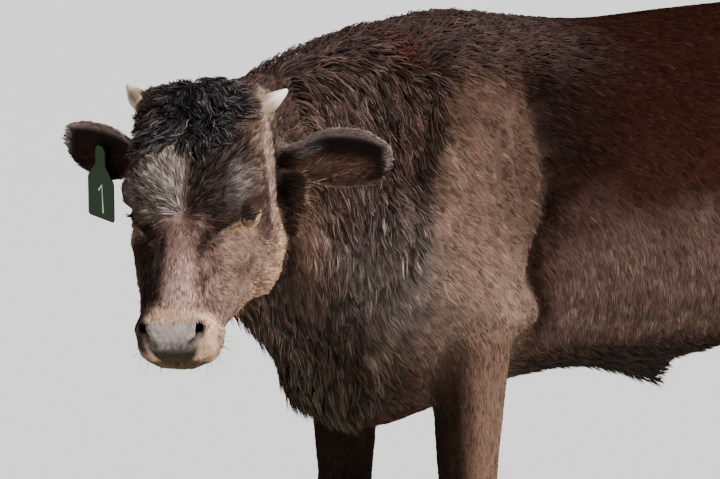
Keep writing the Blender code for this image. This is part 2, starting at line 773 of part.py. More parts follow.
def fuse(flesh_forms, collection):
    """All the forms as one smooth closed surface."""
    whole = join("flesh", flesh_forms, collection)
    remesh = whole.modifiers.new("fuse", "REMESH")
    remesh.mode = "VOXEL"
    remesh.voxel_size = FLESH_VOXEL
    apply_modifiers(whole)
    inverse = HEAD.inverted()

    def in_face(co):
        local = inverse @ co
        return step(local.x, 0.05, 0.12) * (1 - step(co.x, -0.16, -0.10))

    def low_leg(co):
        return 1 - step(co.z, 0.45, 0.56)

    weigh(whole, "body", lambda co: (1 - in_face(co)) * (1 - 0.9 * low_leg(co)))
    weigh(whole, "fine", lambda co: max(in_face(co), low_leg(co)))
    weigh(whole, "plain", lambda co: 1 - 0.85 * max(in_face(co), 0.35 * low_leg(co)))
    for group, turns in (("body", 34), ("fine", 5)):
        blend = whole.modifiers.new(f"soften_{group}", "SMOOTH")
        blend.factor = 0.5
        blend.iterations = turns
        blend.vertex_group = group
    apply_modifiers(whole)
    thin = whole.modifiers.new("thin_out", "DECIMATE")
    triangles = sum(len(p.vertices) - 2 for p in whole.data.polygons)
    thin.ratio = FLESH_TRIANGLES / triangles
    thin.use_collapse_triangulate = True
    thin.vertex_group = "plain"
    thin.vertex_group_factor = DETAIL_HOLD
    apply_modifiers(whole)
    return whole


def disc(name, centre, normal, slant_radius, cross_radius, cutters):
    """A thin oval cutter; its slant radius runs up the slope of its plane."""
    shape = bmesh.new()
    bmesh.ops.create_cone(
        shape, cap_ends=True, segments=24, radius1=1.0, radius2=1.0, depth=1.0
    )
    normal = Vector(normal).normalized()
    upward = Vector((0, 0, 1)) if abs(normal.z) < 0.999 else Vector((1, 0, 0))
    across = normal.cross(upward).normalized()
    slant = across.cross(normal).normalized()
    place = Matrix((across * cross_radius, slant * slant_radius, normal * JOINT_GAP))
    place = place.transposed().to_4x4()
    place.translation = centre
    bmesh.ops.transform(shape, matrix=place, verts=shape.verts)
    bmesh.ops.recalc_face_normals(shape, faces=shape.faces)
    mesh = bpy.data.meshes.new(name)
    shape.to_mesh(mesh)
    shape.free()
    return as_cutter(link(cutters, name, mesh))


def as_cutter(obj):
    obj.hide_render = True
    obj.display_type = "WIRE"
    return obj


def cut(obj, cutter, solver="EXACT"):
    knife = obj.modifiers.new("cut", "BOOLEAN")
    knife.operation = "DIFFERENCE"
    knife.solver = solver
    knife.object = cutter
    apply_modifiers(obj)


def pocket_cutter(obj, gap, cutters):
    """A copy of a piece, grown by the gap, to cut the pocket it sits in."""
    shape = bmesh.new()
    shape.from_mesh(obj.data)
    bmesh.ops.recalc_face_normals(shape, faces=shape.faces)
    shape.normal_update()
    moved = [(v, v.normal.copy()) for v in shape.verts]
    for vertex, normal in moved:
        vertex.co += normal * gap
    mesh = bpy.data.meshes.new(obj.name + "_pocket")
    shape.to_mesh(mesh)
    shape.free()
    return as_cutter(link(cutters, obj.name + "_pocket", mesh))


def foot_cutter(pair, label, cutters):
    """A box that takes away the flesh below the coronet, where the claws stand."""
    point, normal = coronet_plane(pair, label)
    shape = bmesh.new()
    bmesh.ops.create_cube(shape, size=1.0)
    turn = normal.to_track_quat("Z", "Y").to_matrix().to_4x4()
    size = Matrix.Diagonal((0.26, 0.26, 0.12, 1.0))
    place = Matrix.Translation(point - normal * 0.060) @ turn @ size
    bmesh.ops.transform(shape, matrix=place, verts=shape.verts)
    mesh = bpy.data.meshes.new(f"foot_cut_{pair}_{label}")
    shape.to_mesh(mesh)
    shape.free()
    return as_cutter(link(cutters, mesh.name, mesh))


def joint_discs(cutters):
    """The thin cuts that part the flesh, each where a person would name a new part."""
    discs = [
        # name, centre, normal, radius up the slope, radius across
        ("cut_head", on_head(0.035, 0, -0.115) + Vector((0.045, 0.02, 0.0)),
         (-0.80, -0.46, 0.12), 0.240, 0.200),
        ("cut_neck", Vector((0.010, 0, 0.830)), (-0.94, 0, 0.34), 0.400, 0.260),
        ("cut_tail", Vector((1.296, 0, 0.998)), (0.30, 0, -0.95), 0.040, 0.040),
        ("cut_switch", Vector((1.316, 0, 0.655)), (0, 0, 1), 0.050, 0.050),
    ]
    for label, side in SIDES.items():
        fore_y, hind_y, shift = side * FORELEG_Y, side * HINDLEG_Y, HIND_SHIFT[label]
        discs += [
            (f"cut_elbow_{label}", Vector((0.155, side * 0.145, 0.600)),
             (0, side * 0.76, -0.65), 0.142, 0.112),
            (f"cut_knee_{label}", Vector((0.148, fore_y, 0.292)), (0, 0, 1), 0.08, 0.08),
            (f"cut_fore_fetlock_{label}", Vector((0.148, fore_y, 0.182)), (0, 0, 1), 0.08, 0.08),
            (f"cut_stifle_{label}", Vector((1.060, side * 0.170, 0.655)),
             (0.30, side * 0.10, -1), 0.175, 0.120),
            (f"cut_hock_{label}", Vector((1.160 + shift, hind_y, 0.395)), (0, 0, 1), 0.09, 0.09),
            (f"cut_hind_fetlock_{label}", Vector((1.140 + shift, hind_y, 0.196)),
             (0, 0, 1), 0.08, 0.08),
        ]
    return [disc(*row, cutters) for row in discs]


def flesh_labels():
    """A point inside each piece of flesh, to know it by."""
    labels = {
        "head": on_head(0.18, 0, -0.10),
        "neck": Vector((-0.08, 0.0, 0.87)),
        "trunk": Vector((0.62, 0, 0.86)),
        "tail": Vector((1.315, 0, 0.83)),
        "tail_switch": Vector((1.306, 0, 0.48)),
    }
    for label, side in SIDES.items():
        shift = HIND_SHIFT[label]
        labels.update(
            {
                f"foreleg_{label}_forearm": Vector((0.148, side * FORELEG_Y, 0.46)),
                f"foreleg_{label}_cannon": Vector((0.150, side * FORELEG_Y, 0.24)),
                f"foreleg_{label}_pastern": Vector((0.138, side * FORELEG_Y, 0.12)),
                f"hindleg_{label}_gaskin": Vector((1.10 + shift / 2, side * HINDLEG_Y, 0.54)),
                f"hindleg_{label}_cannon": Vector((1.150 + shift, side * HINDLEG_Y, 0.30)),
                f"hindleg_{label}_pastern": Vector((1.125 + shift, side * HINDLEG_Y, 0.13)),
            }
        )
    return labels


def islands(mesh):
    """The loose pieces of a mesh, as lists of face indices."""
    owner = list(range(len(mesh.vertices)))

    def root(i):
        while owner[i] != i:
            owner[i] = owner[owner[i]]
            i = owner[i]
        return i

    for edge in mesh.edges:
        a, b = (root(i) for i in edge.vertices)
        owner[a] = b
    groups = {}
    for face in mesh.polygons:
        groups.setdefault(root(face.vertices[0]), []).append(face.index)
    return list(groups.values())


def keep_faces(mesh, faces, name):
    kept = set(faces)
    shape = bmesh.new()
    shape.from_mesh(mesh)
    shape.faces.ensure_lookup_table()
    bmesh.ops.delete(shape, geom=[f for f in shape.faces if f.index not in kept], context="FACES")
    loose = [v for v in shape.verts if not v.link_faces]
    bmesh.ops.delete(shape, geom=loose, context="VERTS")
    made = bpy.data.meshes.new(name)
    shape.to_mesh(made)
    shape.free()
    return made


def part_flesh(whole, parts, material):
    """Each loose piece of the cut flesh becomes the node whose label point is nearest to it."""
    labels = flesh_labels()
    pieces = {}
    for faces in islands(whole.data):
        mesh = keep_faces(whole.data, faces, "piece")
        points = np.empty(len(mesh.vertices) * 3)
        mesh.vertices.foreach_get("co", points)
        middle = Vector(points.reshape(-1, 3).mean(0))
        name = min(labels, key=lambda n: (labels[n] - middle).length)
        print("piece", name, len(faces), [round(c, 3) for c in middle])
        if name in pieces and len(pieces[name].polygons) > len(mesh.polygons):
            name += "_extra"
        pieces[name] = mesh
    bpy.data.objects.remove(whole)
    made = {}
    for name, mesh in pieces.items():
        mesh.name = name
        piece = link(parts, name, mesh, material)
        smooth_shading(piece, 50)
        made[name] = piece
    return made


# ---------------------------------------------------------------- ear tag


TAG_DOWN = Vector((0.142, 0.163, -0.976))
TAG_RIGHT = Vector((0.004, -0.986, -0.167))


def tag_frame():
    """Where the stud pierces the ear, and the panel's own right, down and facing directions."""
    root, run, faces, upper = ear_frame("right")
    hole = root + run * (0.55 * EAR_LENGTH) - upper * 0.007 - faces * 0.006
    down = TAG_DOWN.normalized()
    right = (TAG_RIGHT - TAG_RIGHT.dot(down) * down).normalized()
    return hole, right, down, down.cross(right).normalized()


def outline_prism(name, outline, origin, right, down, normal, thickness, parts, material):
    """A flat outline, given right and down from the origin, made thickness deep."""
    shape = bmesh.new()
    flat = [
        shape.verts.new(origin + right * a + down * b - normal * thickness / 2) for a, b in outline
    ]
    face = shape.faces.new(flat)
    grown = bmesh.ops.extrude_face_region(shape, geom=[face])
    moved = [v for v in grown["geom"] if isinstance(v, bmesh.types.BMVert)]
    bmesh.ops.translate(shape, vec=normal * thickness, verts=moved)
    bmesh.ops.recalc_face_normals(shape, faces=shape.faces)
    mesh = bpy.data.meshes.new(name)
    shape.to_mesh(mesh)
    shape.free()
    return link(parts, name, mesh, material)


def tag_outline():
    """A rounded head, a neck that widens to the shoulders, and a panel with eased corners."""
    half, neck, corner = TAG_WIDTH / 2, 0.0115, 0.0035
    right = [
        (0.0060, -0.0110),
        (0.0105, -0.0060),
        (neck, 0.0000),
        (neck, 0.0180),
        (half - 0.0015, 0.0400),
        (half, 0.0440),
        (half, TAG_DROP - corner),
        (half - corner, TAG_DROP),
    ]
    return right + [(-a, b) for a, b in reversed(right)]


def make_tag(parts, green):
    """The panel hangs in front of the ear, held by a stud with a round button behind the ear."""
    hole, right, down, normal = tag_frame()
    if normal.x > 0:
        normal.negate()
    panel = outline_prism(
        "tag_panel", tag_outline(), hole + normal * TAG_STAND_OFF, right, down, normal,
        TAG_THICKNESS, parts, green,
    )
    run = normal.cross(down).normalized()
    front = TAG_STAND_OFF - TAG_THICKNESS / 2 - JOINT_GAP
    back = -TAG_STUD_BACK
    profile = [
        # distance along the normal, radius
        (front, 0.0040),
        (back + 0.0032, 0.0040),
        (back + 0.0030, 0.0140),
        (back + 0.0012, 0.0140),
        (back, 0.0125),
    ]
    rings = [
        ring_of(hole + normal * reach, run, down, radius, radius, radius, 2, 2, 12)
        for reach, radius in profile
    ]
    button = skin_rings("tag_button", rings, parts)
    button.data.materials.append(green)
    smooth_shading(button, 35)
    return panel, button


# ---------------------------------------------------------------- the animal


def stand_on_origin(collections):
    """Moves everything so that the origin lies on the floor, under the middle of the animal."""
    solids = [obj.data for obj in collections[0].objects]
    points = np.array([v.co[:] for mesh in solids for v in mesh.vertices])
    low, high = points.min(0), points.max(0)
    shift = Vector((-(low[0] + high[0]) / 2, -(low[1] + high[1]) / 2, -low[2]))
    for collection in collections:
        for obj in collection.objects:
            obj.data.transform(Matrix.Translation(shift))
    print("moved by", [round(c, 5) for c in shift], "size", [round(c, 4) for c in high - low])


def build():
    clear_scene()
    flesh = new_collection("flesh_forms", hidden=True)
    cutters = new_collection("cutters", hidden=True)
    parts = new_collection("young_steer")
    coat = finish("dark_coat", (0.045, 0.028, 0.022), 0.75)
    horn = finish("pale_horn", (0.62, 0.56, 0.42), 0.40)
    hoof = finish("hoof_horn", (0.055, 0.045, 0.038), 0.45)
    eye = finish("dark_eye", (0.015, 0.010, 0.008), 0.08)
    green = finish("green_tag", (0.035, 0.10, 0.030), 0.45)

    add_trunk(flesh)
    add_neck(flesh)
    add_dewlap(flesh)
    add_sheath(flesh)
    add_muscles(flesh)
    add_legs(flesh)
    add_head(flesh)
    skin_rings("tail_form", tail_rings(TAIL_LINE, 14, 4), flesh)
    whole = fuse(list(flesh.objects), flesh)

    inserts = []
    for label in SIDES:
        inserts.append(make_eye(label, parts, eye))
        inserts.append(make_horn(label, parts, horn))
        cut(whole, lid_opening(label, cutters))
        cut(whole, nostril_cutter(label, cutters))
        inserts.append(make_ear(label, parts, coat))
        for pair in ("foreleg", "hindleg"):
            for inner in (True, False):
                make_claw(pair, label, inner, parts, hoof)
                inserts.append(make_dewclaw(pair, label, inner, parts, hoof))
    for insert in inserts:
        cut(whole, pocket_cutter(insert, POCKET_GAP, cutters))
    for label in SIDES:
        for pair in ("foreleg", "hindleg"):
            cut(whole, foot_cutter(pair, label, cutters))
    for knife in joint_discs(cutters):
        cut(whole, knife)
    part_flesh(whole, parts, coat)

    _, button = make_tag(parts, green)
    ear = bpy.data.objects["ear_right"]
    cut(ear, ear_slit(cutters))
    cut(ear, pocket_cutter(button, POCKET_GAP, cutters))
    for obj in list(flesh.objects):
        bpy.data.objects.remove(obj)
    stand_on_origin([parts, cutters])


build()
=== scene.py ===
# %% [markdown]
# # A young steer, standing still
#
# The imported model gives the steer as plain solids: head, neck, trunk, legs, ears, eyes,
# horns, claws and an ear tag. Their outer faces are where the tips of the coat end. This
# lesson dresses them. One skin is grown inside the solids of flesh, the face is sculpted
# into it, and then the coat is set over it, tuft by tuft.

# %% Load the solids
import math
import time

import bpy
import numpy as np
from mathutils import Matrix, Vector
from mathutils.bvhtree import BVHTree
from mathutils.kdtree import KDTree


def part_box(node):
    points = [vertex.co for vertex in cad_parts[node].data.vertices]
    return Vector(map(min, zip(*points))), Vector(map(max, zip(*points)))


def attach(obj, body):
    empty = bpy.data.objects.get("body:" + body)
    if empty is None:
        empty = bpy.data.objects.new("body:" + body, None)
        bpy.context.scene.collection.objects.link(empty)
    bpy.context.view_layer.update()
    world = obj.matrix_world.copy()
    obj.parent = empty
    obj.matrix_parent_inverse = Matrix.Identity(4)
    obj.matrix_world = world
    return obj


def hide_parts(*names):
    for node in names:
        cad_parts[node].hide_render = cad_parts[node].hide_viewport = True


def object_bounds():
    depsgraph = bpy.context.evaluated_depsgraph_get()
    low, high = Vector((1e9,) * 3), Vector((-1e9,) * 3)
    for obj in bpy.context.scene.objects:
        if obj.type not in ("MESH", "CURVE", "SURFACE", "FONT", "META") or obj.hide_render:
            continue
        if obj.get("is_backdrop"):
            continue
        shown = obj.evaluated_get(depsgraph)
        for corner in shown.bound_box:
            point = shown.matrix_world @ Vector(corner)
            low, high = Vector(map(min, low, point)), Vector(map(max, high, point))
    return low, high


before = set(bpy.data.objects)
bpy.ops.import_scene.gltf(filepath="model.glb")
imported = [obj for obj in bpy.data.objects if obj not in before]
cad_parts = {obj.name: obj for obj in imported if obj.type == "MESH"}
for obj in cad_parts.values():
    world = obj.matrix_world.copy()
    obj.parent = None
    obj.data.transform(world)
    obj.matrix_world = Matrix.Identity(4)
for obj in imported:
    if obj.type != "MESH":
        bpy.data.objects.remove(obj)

started = time.time()
cad_low, cad_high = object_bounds()
height = cad_high.z
length = cad_high.x - cad_low.x
print(f"the steer is {length:.3f} m long and {height:.3f} m tall")


def tell(what):
    print(f"{time.time() - started:6.1f} s  {what}")


# %% [markdown]
# ## Where the head points
#
# The steer faces -X, and turns and lowers its head. Everything on the face is easiest to
# place in the head's own axes: along the face from poll to nose, to the animal's left,
# and out of the forehead. The three turns are those of the solid head, and the two
# eyeballs, which are nodes of their own, fix its place.

# %% The head's axes
HEAD_TURN = math.radians(37.6)
HEAD_DROP = math.radians(50.6)
HEAD_TILT = math.radians(4.4)
EYE_RADIUS = 0.0175
EYES_MIDDLE_IN_HEAD = np.array([0.1826, 0.0, -0.0593])


def middle_of(node):
    low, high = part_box(node)
    return np.array((low + high) / 2)


def head_axes():
    along = Vector((-math.cos(HEAD_TURN) * math.cos(HEAD_DROP),
                    -math.sin(HEAD_TURN) * math.cos(HEAD_DROP), -math.sin(HEAD_DROP)))
    left = Vector((math.sin(HEAD_TURN), -math.cos(HEAD_TURN), 0.0))
    out = along.cross(left)
    tilt = Matrix.Rotation(HEAD_TILT, 3, along)
    return np.array([along, tilt @ left, tilt @ out])


HEAD_AXES = head_axes()
EYE = {side: middle_of(f"eye_{side}") for side in ("left", "right")}
HEAD_ORIGIN = (EYE["left"] + EYE["right"]) / 2 - EYES_MIDDLE_IN_HEAD @ HEAD_AXES
SIDE = {"left": 1.0, "right": -1.0}  # sign along the head's own left axis


def to_head(points):
    return (points - HEAD_ORIGIN) @ HEAD_AXES.T


def from_head(points):
    return np.asarray(points) @ HEAD_AXES + HEAD_ORIGIN


print("poll at", HEAD_ORIGIN.round(3), "eyes apart by",
      round(float(np.linalg.norm(EYE["left"] - EYE["right"])), 4))

# %% [markdown]
# ## Camera, floor and light
#
# A long lens from the front left, a little above the head's height, as one would look
# over a fence. The floor is one pale sheet so wide that its far edge meets the horizon.
# One broad sun-like lamp comes from the rear left and above, and models the coat, and a
# pale sky fills the shadows.

# %% Camera
VIEW_TURN = math.radians(41.0)
VIEW_RISE = math.radians(5.5)
VIEW_DISTANCE = 6.5
VIEW_LENS = 213.9
VIEW_AIM = Vector((-0.4024, -0.0291, 0.809))

camera_data = bpy.data.cameras.new("camera")
camera_data.lens = VIEW_LENS
camera_data.sensor_width = 36.0
camera_data.clip_end = 200.0
camera = bpy.data.objects.new("camera", camera_data)
bpy.context.scene.collection.objects.link(camera)
camera.rotation_euler = (math.pi / 2 - VIEW_RISE, 0.0, -VIEW_TURN)
towards_camera = Vector((-math.sin(VIEW_TURN) * math.cos(VIEW_RISE),
                         -math.cos(VIEW_TURN) * math.cos(VIEW_RISE), math.sin(VIEW_RISE)))
camera.location = VIEW_AIM + towards_camera * VIEW_DISTANCE
bpy.context.scene.camera = camera
print("camera at", [round(c, 3) for c in camera.location])

# %% Floor and light
FLOOR_PAINT = (0.80, 0.79, 0.77)
FLOOR_REACH = 60.0
KEY_FROM = Vector((0.34, -0.60, 0.72))
KEY_ENERGY = 7.0
KEY_SPREAD = math.radians(5.0)
SKY_COLOUR = (0.90, 0.94, 1.0, 1.0)
SKY_STRENGTH = 0.24


def plain_material(name, colour, roughness):
    material = bpy.data.materials.new(name)
    material.use_nodes = True
    shader = material.node_tree.nodes["Principled BSDF"]
    shader.inputs["Base Color"].default_value = (*colour, 1.0)
    shader.inputs["Roughness"].default_value = roughness
    return material


bpy.ops.mesh.primitive_plane_add(size=2 * FLOOR_REACH)
floor = bpy.context.object
floor.name = "floor"
floor.data.materials.append(plain_material("floor_paint", FLOOR_PAINT, 0.9))
floor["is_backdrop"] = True

sun_data = bpy.data.lights.new("key", "SUN")
sun_data.energy = KEY_ENERGY
sun_data.angle = KEY_SPREAD
sun = bpy.data.objects.new("key", sun_data)
bpy.context.scene.collection.objects.link(sun)
sun.rotation_euler = KEY_FROM.to_track_quat("Z", "Y").to_euler()

world = bpy.data.worlds.new("studio")
world.use_nodes = True
sky = world.node_tree.nodes["Background"]
sky.inputs["Color"].default_value = SKY_COLOUR
sky.inputs["Strength"].default_value = SKY_STRENGTH
bpy.context.scene.world = world
print(f"a floor {2 * FLOOR_REACH:.0f} m wide, lit from", [round(c, 2) for c in KEY_FROM])

# %% [markdown]
# ## Working on a mesh as arrays
#
# The skin has hundreds of thousands of corners, and every step asks each of them the
# same question: how far to move, which way the hair lies here, what colour it is. NumPy
# answers for all of them at once, so the mesh is kept as arrays of places and faces, and
# becomes a Blender object only when a modifier has work to do on it.

# %% Soft steps, spots and directions
def rise(value, low, high):
    """0 below low, 1 above high, and a smooth step between."""
    t = np.clip((value - low) / (high - low), 0.0, 1.0)
    return t * t * (3 - 2 * t)


def spot(points, centre, radii):
    """1 at centre, fading out over the radii."""
    return np.exp(-(((points - np.asarray(centre)) / np.asarray(radii)) ** 2).sum(-1))


def unit(vectors):
    return vectors / np.maximum(np.linalg.norm(vectors, axis=-1, keepdims=True), 1e-12)


# %% [markdown]
# A mesh leaves Blender as two arrays, the places of its corners and its triangles, and
# comes back the same way. A modifier is run by evaluating the object it sits on.

# %% To arrays and back
def mesh_object(name, points, faces, smooth=True):
    """A mesh object from arrays; faces is n x 3 or n x 4."""
    mesh = bpy.data.meshes.new(name)
    sides = faces.shape[1]
    mesh.vertices.add(len(points))
    mesh.vertices.foreach_set("co", np.asarray(points, np.float32).ravel())
    mesh.loops.add(faces.size)
    mesh.loops.foreach_set("vertex_index", np.asarray(faces, np.int32).ravel())
    mesh.polygons.add(len(faces))
    mesh.polygons.foreach_set("loop_start", np.arange(len(faces), dtype=np.int32) * sides)
    mesh.polygons.foreach_set("use_smooth", np.full(len(faces), smooth))
    mesh.update(calc_edges=True)
    made = bpy.data.objects.new(name, mesh)
    bpy.context.scene.collection.objects.link(made)
    return made


def arrays_of(mesh):
    """Places and triangles of a mesh."""
    points = np.empty(len(mesh.vertices) * 3, np.float32)
    mesh.vertices.foreach_get("co", points)
    mesh.calc_loop_triangles()
    faces = np.empty(len(mesh.loop_triangles) * 3, np.int32)
    mesh.loop_triangles.foreach_get("vertices", faces)
    return points.reshape(-1, 3).astype(float), faces.reshape(-1, 3)


def with_modifiers(piece):
    """Places and triangles after the piece's modifiers; the piece itself is removed."""
    graph = bpy.context.evaluated_depsgraph_get()
    mesh = bpy.data.meshes.new_from_object(piece.evaluated_get(graph))
    result = arrays_of(mesh)
    bpy.data.objects.remove(piece)
    bpy.data.meshes.remove(mesh)
    return result


def welded(points, faces):
    """Joins corners that lie at one place, as an exported mesh has them doubled."""
    _, first, same = np.unique(np.round(points, 6), axis=0, return_index=True,
                               return_inverse=True)
    faces = same.reshape(-1)[faces]
    real = (faces[:, 0] != faces[:, 1]) & (faces[:, 1] != faces[:, 2])
    real &= faces[:, 2] != faces[:, 0]
    return points[first], faces[real]


# %% [markdown]
# Normals say which way the skin faces, and edges which corners are neighbours. A value
# that keeps moving towards its neighbours' mean spreads like damp in cloth. That smooths
# shapes, softens the edges of regions and combs the coat.

# %% Normals, neighbours and relaxing
def face_normals(points, faces):
    """Normals as long as twice the faces' areas."""
    a, b, c = (points[faces[:, k]] for k in range(3))
    return np.cross(b - a, c - a)


def corner_normals(points, faces):
    normals = face_normals(points, faces)
    total = np.stack([
        sum(np.bincount(faces[:, k], normals[:, axis], len(points)) for k in range(3))
        for axis in range(3)], 1)
    return unit(total)


def edges_of(faces):
    pairs = np.concatenate([faces[:, [0, 1]], faces[:, [1, 2]], faces[:, [2, 0]]])
    return np.unique(np.sort(pairs, 1), axis=0)


def neighbours_mean(values, edges, count):
    """Each corner's mean over its neighbours."""
    a, b = edges.T
    near = np.bincount(a, minlength=count) + np.bincount(b, minlength=count)
    columns = values.reshape(count, -1).T
    total = [np.bincount(a, c[b], count) + np.bincount(b, c[a], count) for c in columns]
    return (np.stack(total, 1) / np.maximum(near, 1)[:, None]).reshape(values.shape)


def relaxed(values, edges, rounds, weight=1.0):
    """Diffuses values, or places, over the mesh; weight says how far each corner joins in."""
    count = len(values)
    weight = np.broadcast_to(weight, (count,)) * 0.6
    weight = weight.reshape([count] + [1] * (values.ndim - 1))
    for _ in range(rounds):
        values = values + (neighbours_mean(values, edges, count) - values) * weight
    return values


# %% [markdown]
# Lids and nostrils need far finer triangles than a flank. A Subdivision modifier would
# cut the whole animal alike, so chosen triangles are cut here by hand.

# %% Cutting triangles finer
def refined(points, faces, chosen, *fields):
    """Cuts every chosen triangle in four, and its neighbours to match, so no crack opens.
    Each field has a value per corner, and gains the new corners' values."""
    pairs = np.sort(np.stack([faces[:, [0, 1]], faces[:, [1, 2]], faces[:, [2, 0]]], 1), 2)
    key = pairs[..., 0].astype(np.int64) * len(points) + pairs[..., 1]
    split = np.unique(key[chosen])
    place = np.searchsorted(split, key).clip(0, max(len(split) - 1, 0))
    cut = split[place] == key
    middle = np.where(cut, len(points) + place, -1)
    a, b = split // len(points), split % len(points)
    grown = [np.concatenate([f, (f[a] + f[b]) / 2]) for f in (points, *fields)]
    made = [faces[~cut.any(1)]]
    for turn in range(3):
        turned = np.roll(np.arange(3), -turn)
        f, m, c = faces[:, turned], middle[:, turned], cut[:, turned]
        one = c[:, 0] & ~c[:, 1] & ~c[:, 2]
        made.append(np.stack([f[one, 0], m[one, 0], f[one, 2]], 1))
        made.append(np.stack([m[one, 0], f[one, 1], f[one, 2]], 1))
        two = c[:, 0] & c[:, 1] & ~c[:, 2]
        made.append(np.stack([m[two, 0], f[two, 1], m[two, 1]], 1))
        made.append(np.stack([f[two, 0], m[two, 0], m[two, 1]], 1))
        made.append(np.stack([f[two, 0], m[two, 1], f[two, 2]], 1))
    whole = cut.all(1)
    f, m = faces[whole], middle[whole]
    made.append(m)
    for k in range(3):
        made.append(np.stack([f[:, k], m[:, k], m[:, k - 1]], 1))
    return grown[0], np.concatenate(made), *grown[1:]


# %% [markdown]
# ## One skin from many solids
#
# The solids of flesh are parted by cuts under half a millimetre wide. Each is swelled by
# a little more than that, so that they overlap, and a voxel remesh wraps the lot in one
# closed surface. Corners are then relaxed, which irons out the solids' flat facets, and
# moved in by the depth of the coat: little on the face and shins, much on neck and poll.

# %% Gather the flesh
LEG_PIECES = [f"{pair}_{side}_{piece}" for side in ("left", "right")
              for pair, pieces in (("foreleg", ("forearm", "cannon", "pastern")),
                                   ("hindleg", ("gaskin", "cannon", "pastern")))
              for piece in pieces]
FLESH = ["head", "neck", "trunk", "tail", "tail_switch", "ear_left", "ear_right"] + LEG_PIECES
SWELL = 0.0006
SWITCH_CORE = 0.30  # share of the switch's width that is tail, the rest being hair
EYE_PLUG = 1.03
SKIN_VOXEL = 0.0042


def solid_arrays(node):
    return welded(*arrays_of(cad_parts[node].data))


def slimmed(points, node, share):
    """Draws points towards the upright axis through the node's middle."""
    axis = middle_of(node)
    slim = points.copy()
    slim[:, :2] = axis[:2] + (points[:, :2] - axis[:2]) * share
    return slim


HORN_ROOT = {"left": np.array([0.013, 0.095, -0.025]), "right": np.array([0.002, -0.099, -0.015])}
HORN_RUN = {"left": np.array([-0.70, 0.64, -0.24]), "right": np.array([-0.72, -0.62, -0.24])}


def sunk_horn(points, side):
    """The horn cut short at the skin: a plug for its pocket."""
    run = unit(HORN_RUN[side])
    local = to_head(points)
    beyond = np.maximum((local - HORN_ROOT[side]) @ run - 0.001, 0.0)
    return from_head(local - beyond[:, None] * run)


def gathered():
    points_all, faces_all, labels, count = [], [], [], 0
    for label, node in enumerate(FLESH):
        points, faces = solid_arrays(node)
        points = points + corner_normals(points, faces) * SWELL
        if node == "tail_switch":
            points = slimmed(points, node, SWITCH_CORE)
        points_all.append(points)
        faces_all.append(faces + count)
        labels.append(np.full(len(faces), label))
        count += len(points)
    for side in SIDE:  # plugs for the sockets and the pockets in the flesh
        for node in (f"eye_{side}", f"horn_{side}"):
            points, faces = solid_arrays(node)
            if node.startswith("eye"):
                points = middle_of(node) + (points - middle_of(node)) * EYE_PLUG
            else:
                points = sunk_horn(points, side)
            points_all.append(points)
            faces_all.append(faces + count)
            labels.append(np.full(len(faces), 0))
            count += len(points)
    return np.concatenate(points_all), np.concatenate(faces_all), np.concatenate(labels)


solid_points, solid_faces, solid_labels = gathered()
tell(f"{len(FLESH)} solids of flesh hold {len(solid_faces)} triangles")

# %% Wrap them in one surface
wrap = mesh_object("wrap", solid_points, solid_faces)
remesh = wrap.modifiers.new("one_skin", "REMESH")
remesh.mode = "VOXEL"
remesh.voxel_size = SKIN_VOXEL
skin_points, skin_faces = with_modifiers(wrap)
tell(f"one surface of {len(skin_faces)} triangles")

# %% [markdown]
# Every later step wants to know which part of the body a corner belongs to. The nearest
# solid gives it a label. A soft mask is a label spread over the mesh by the same relaxing
# that smooths shapes, so the parts blend where they meet.

# %% Labels and masks
solid_tree = BVHTree.FromPolygons(solid_points.tolist(), solid_faces.tolist())
LABEL = {node: number for number, node in enumerate(FLESH)}
LABEL_CELL = 0.007


def nearest_labels(points):
    """The label of the nearest solid, asked once for each small cell of space."""
    _, first, same = np.unique(np.floor(points / LABEL_CELL).astype(np.int64), axis=0,
                               return_index=True, return_inverse=True)
    found = [solid_tree.find_nearest(p)[2] for p in points[first].tolist()]
    return solid_labels[np.array(found)][same.reshape(-1)]


def labelled(labels, *words):
    wanted = [number for node, number in LABEL.items()
              if any(f"{word}_" in f"{node}_" for word in words)]
    return np.isin(labels, wanted).astype(float)


skin_labels = nearest_labels(skin_points)
skin_edges = edges_of(skin_faces)
tell("labels found")

# %% [markdown]
# How deep the coat is, in metres, at each corner. A young steer of a shaggy beef breed
# has a face like velvet, a poll of loose curls, long hanging hair down the neck and
# brisket, a short sleek shoulder, and a middling coat along the body.

# %% Depth of the coat
IRONING_ROUNDS = 46
WEIGHT_STEPS = 20


def coat_depth(points, labels, edges):
    on = {word: relaxed(labelled(labels, word), edges, 6)
          for word in ("head", "neck", "trunk", "tail", "ear", "leg", "cannon", "pastern")}
    head = to_head(points)
    poll = spot(head, (0.02, 0.0, 0.0), (0.075, 0.085, 0.05))
    face = 0.0035 + 0.012 * poll
    roots = sum(spot(head, HORN_ROOT[side], (0.024,) * 3) for side in SIDE)
    face *= 1 - 0.8 * np.minimum(roots, 1.0)
    face *= 1 - 0.7 * sum(spot(points, EYE[side], (0.035,) * 3) for side in SIDE)
    pad = rise(head[:, 0], 0.345, 0.375)
    face = face * (1 - pad) + 0.0006 * pad
    legs = 0.0065 - 0.003 * on["cannon"] - 0.004 * on["pastern"]
    legs *= rise(points[:, 2], 0.05, 0.12)
    brisket = spot(points, (-0.47, 0.0, 0.58), (0.10, 0.14, 0.09))
    shoulder = spot(points, (-0.28, -0.19, 0.85), (0.13, 0.2, 0.22))
    shoulder += spot(points, (-0.28, 0.19, 0.85), (0.13, 0.2, 0.22))
    trunk = 0.0095 - 0.003 * np.minimum(shoulder, 1.0) + 0.005 * brisket
    trunk += 0.004 * rise(-points[:, 2], -0.68, -0.60)
    neck = 0.013
    total = sum(on[w] for w in ("head", "neck", "trunk", "tail", "ear", "leg"))
    depth = (on["head"] * face + on["neck"] * neck + on["trunk"] * trunk
             + on["tail"] * 0.004 + on["ear"] * 0.0022 + on["leg"] * legs)
    return depth / np.maximum(total, 1e-6)


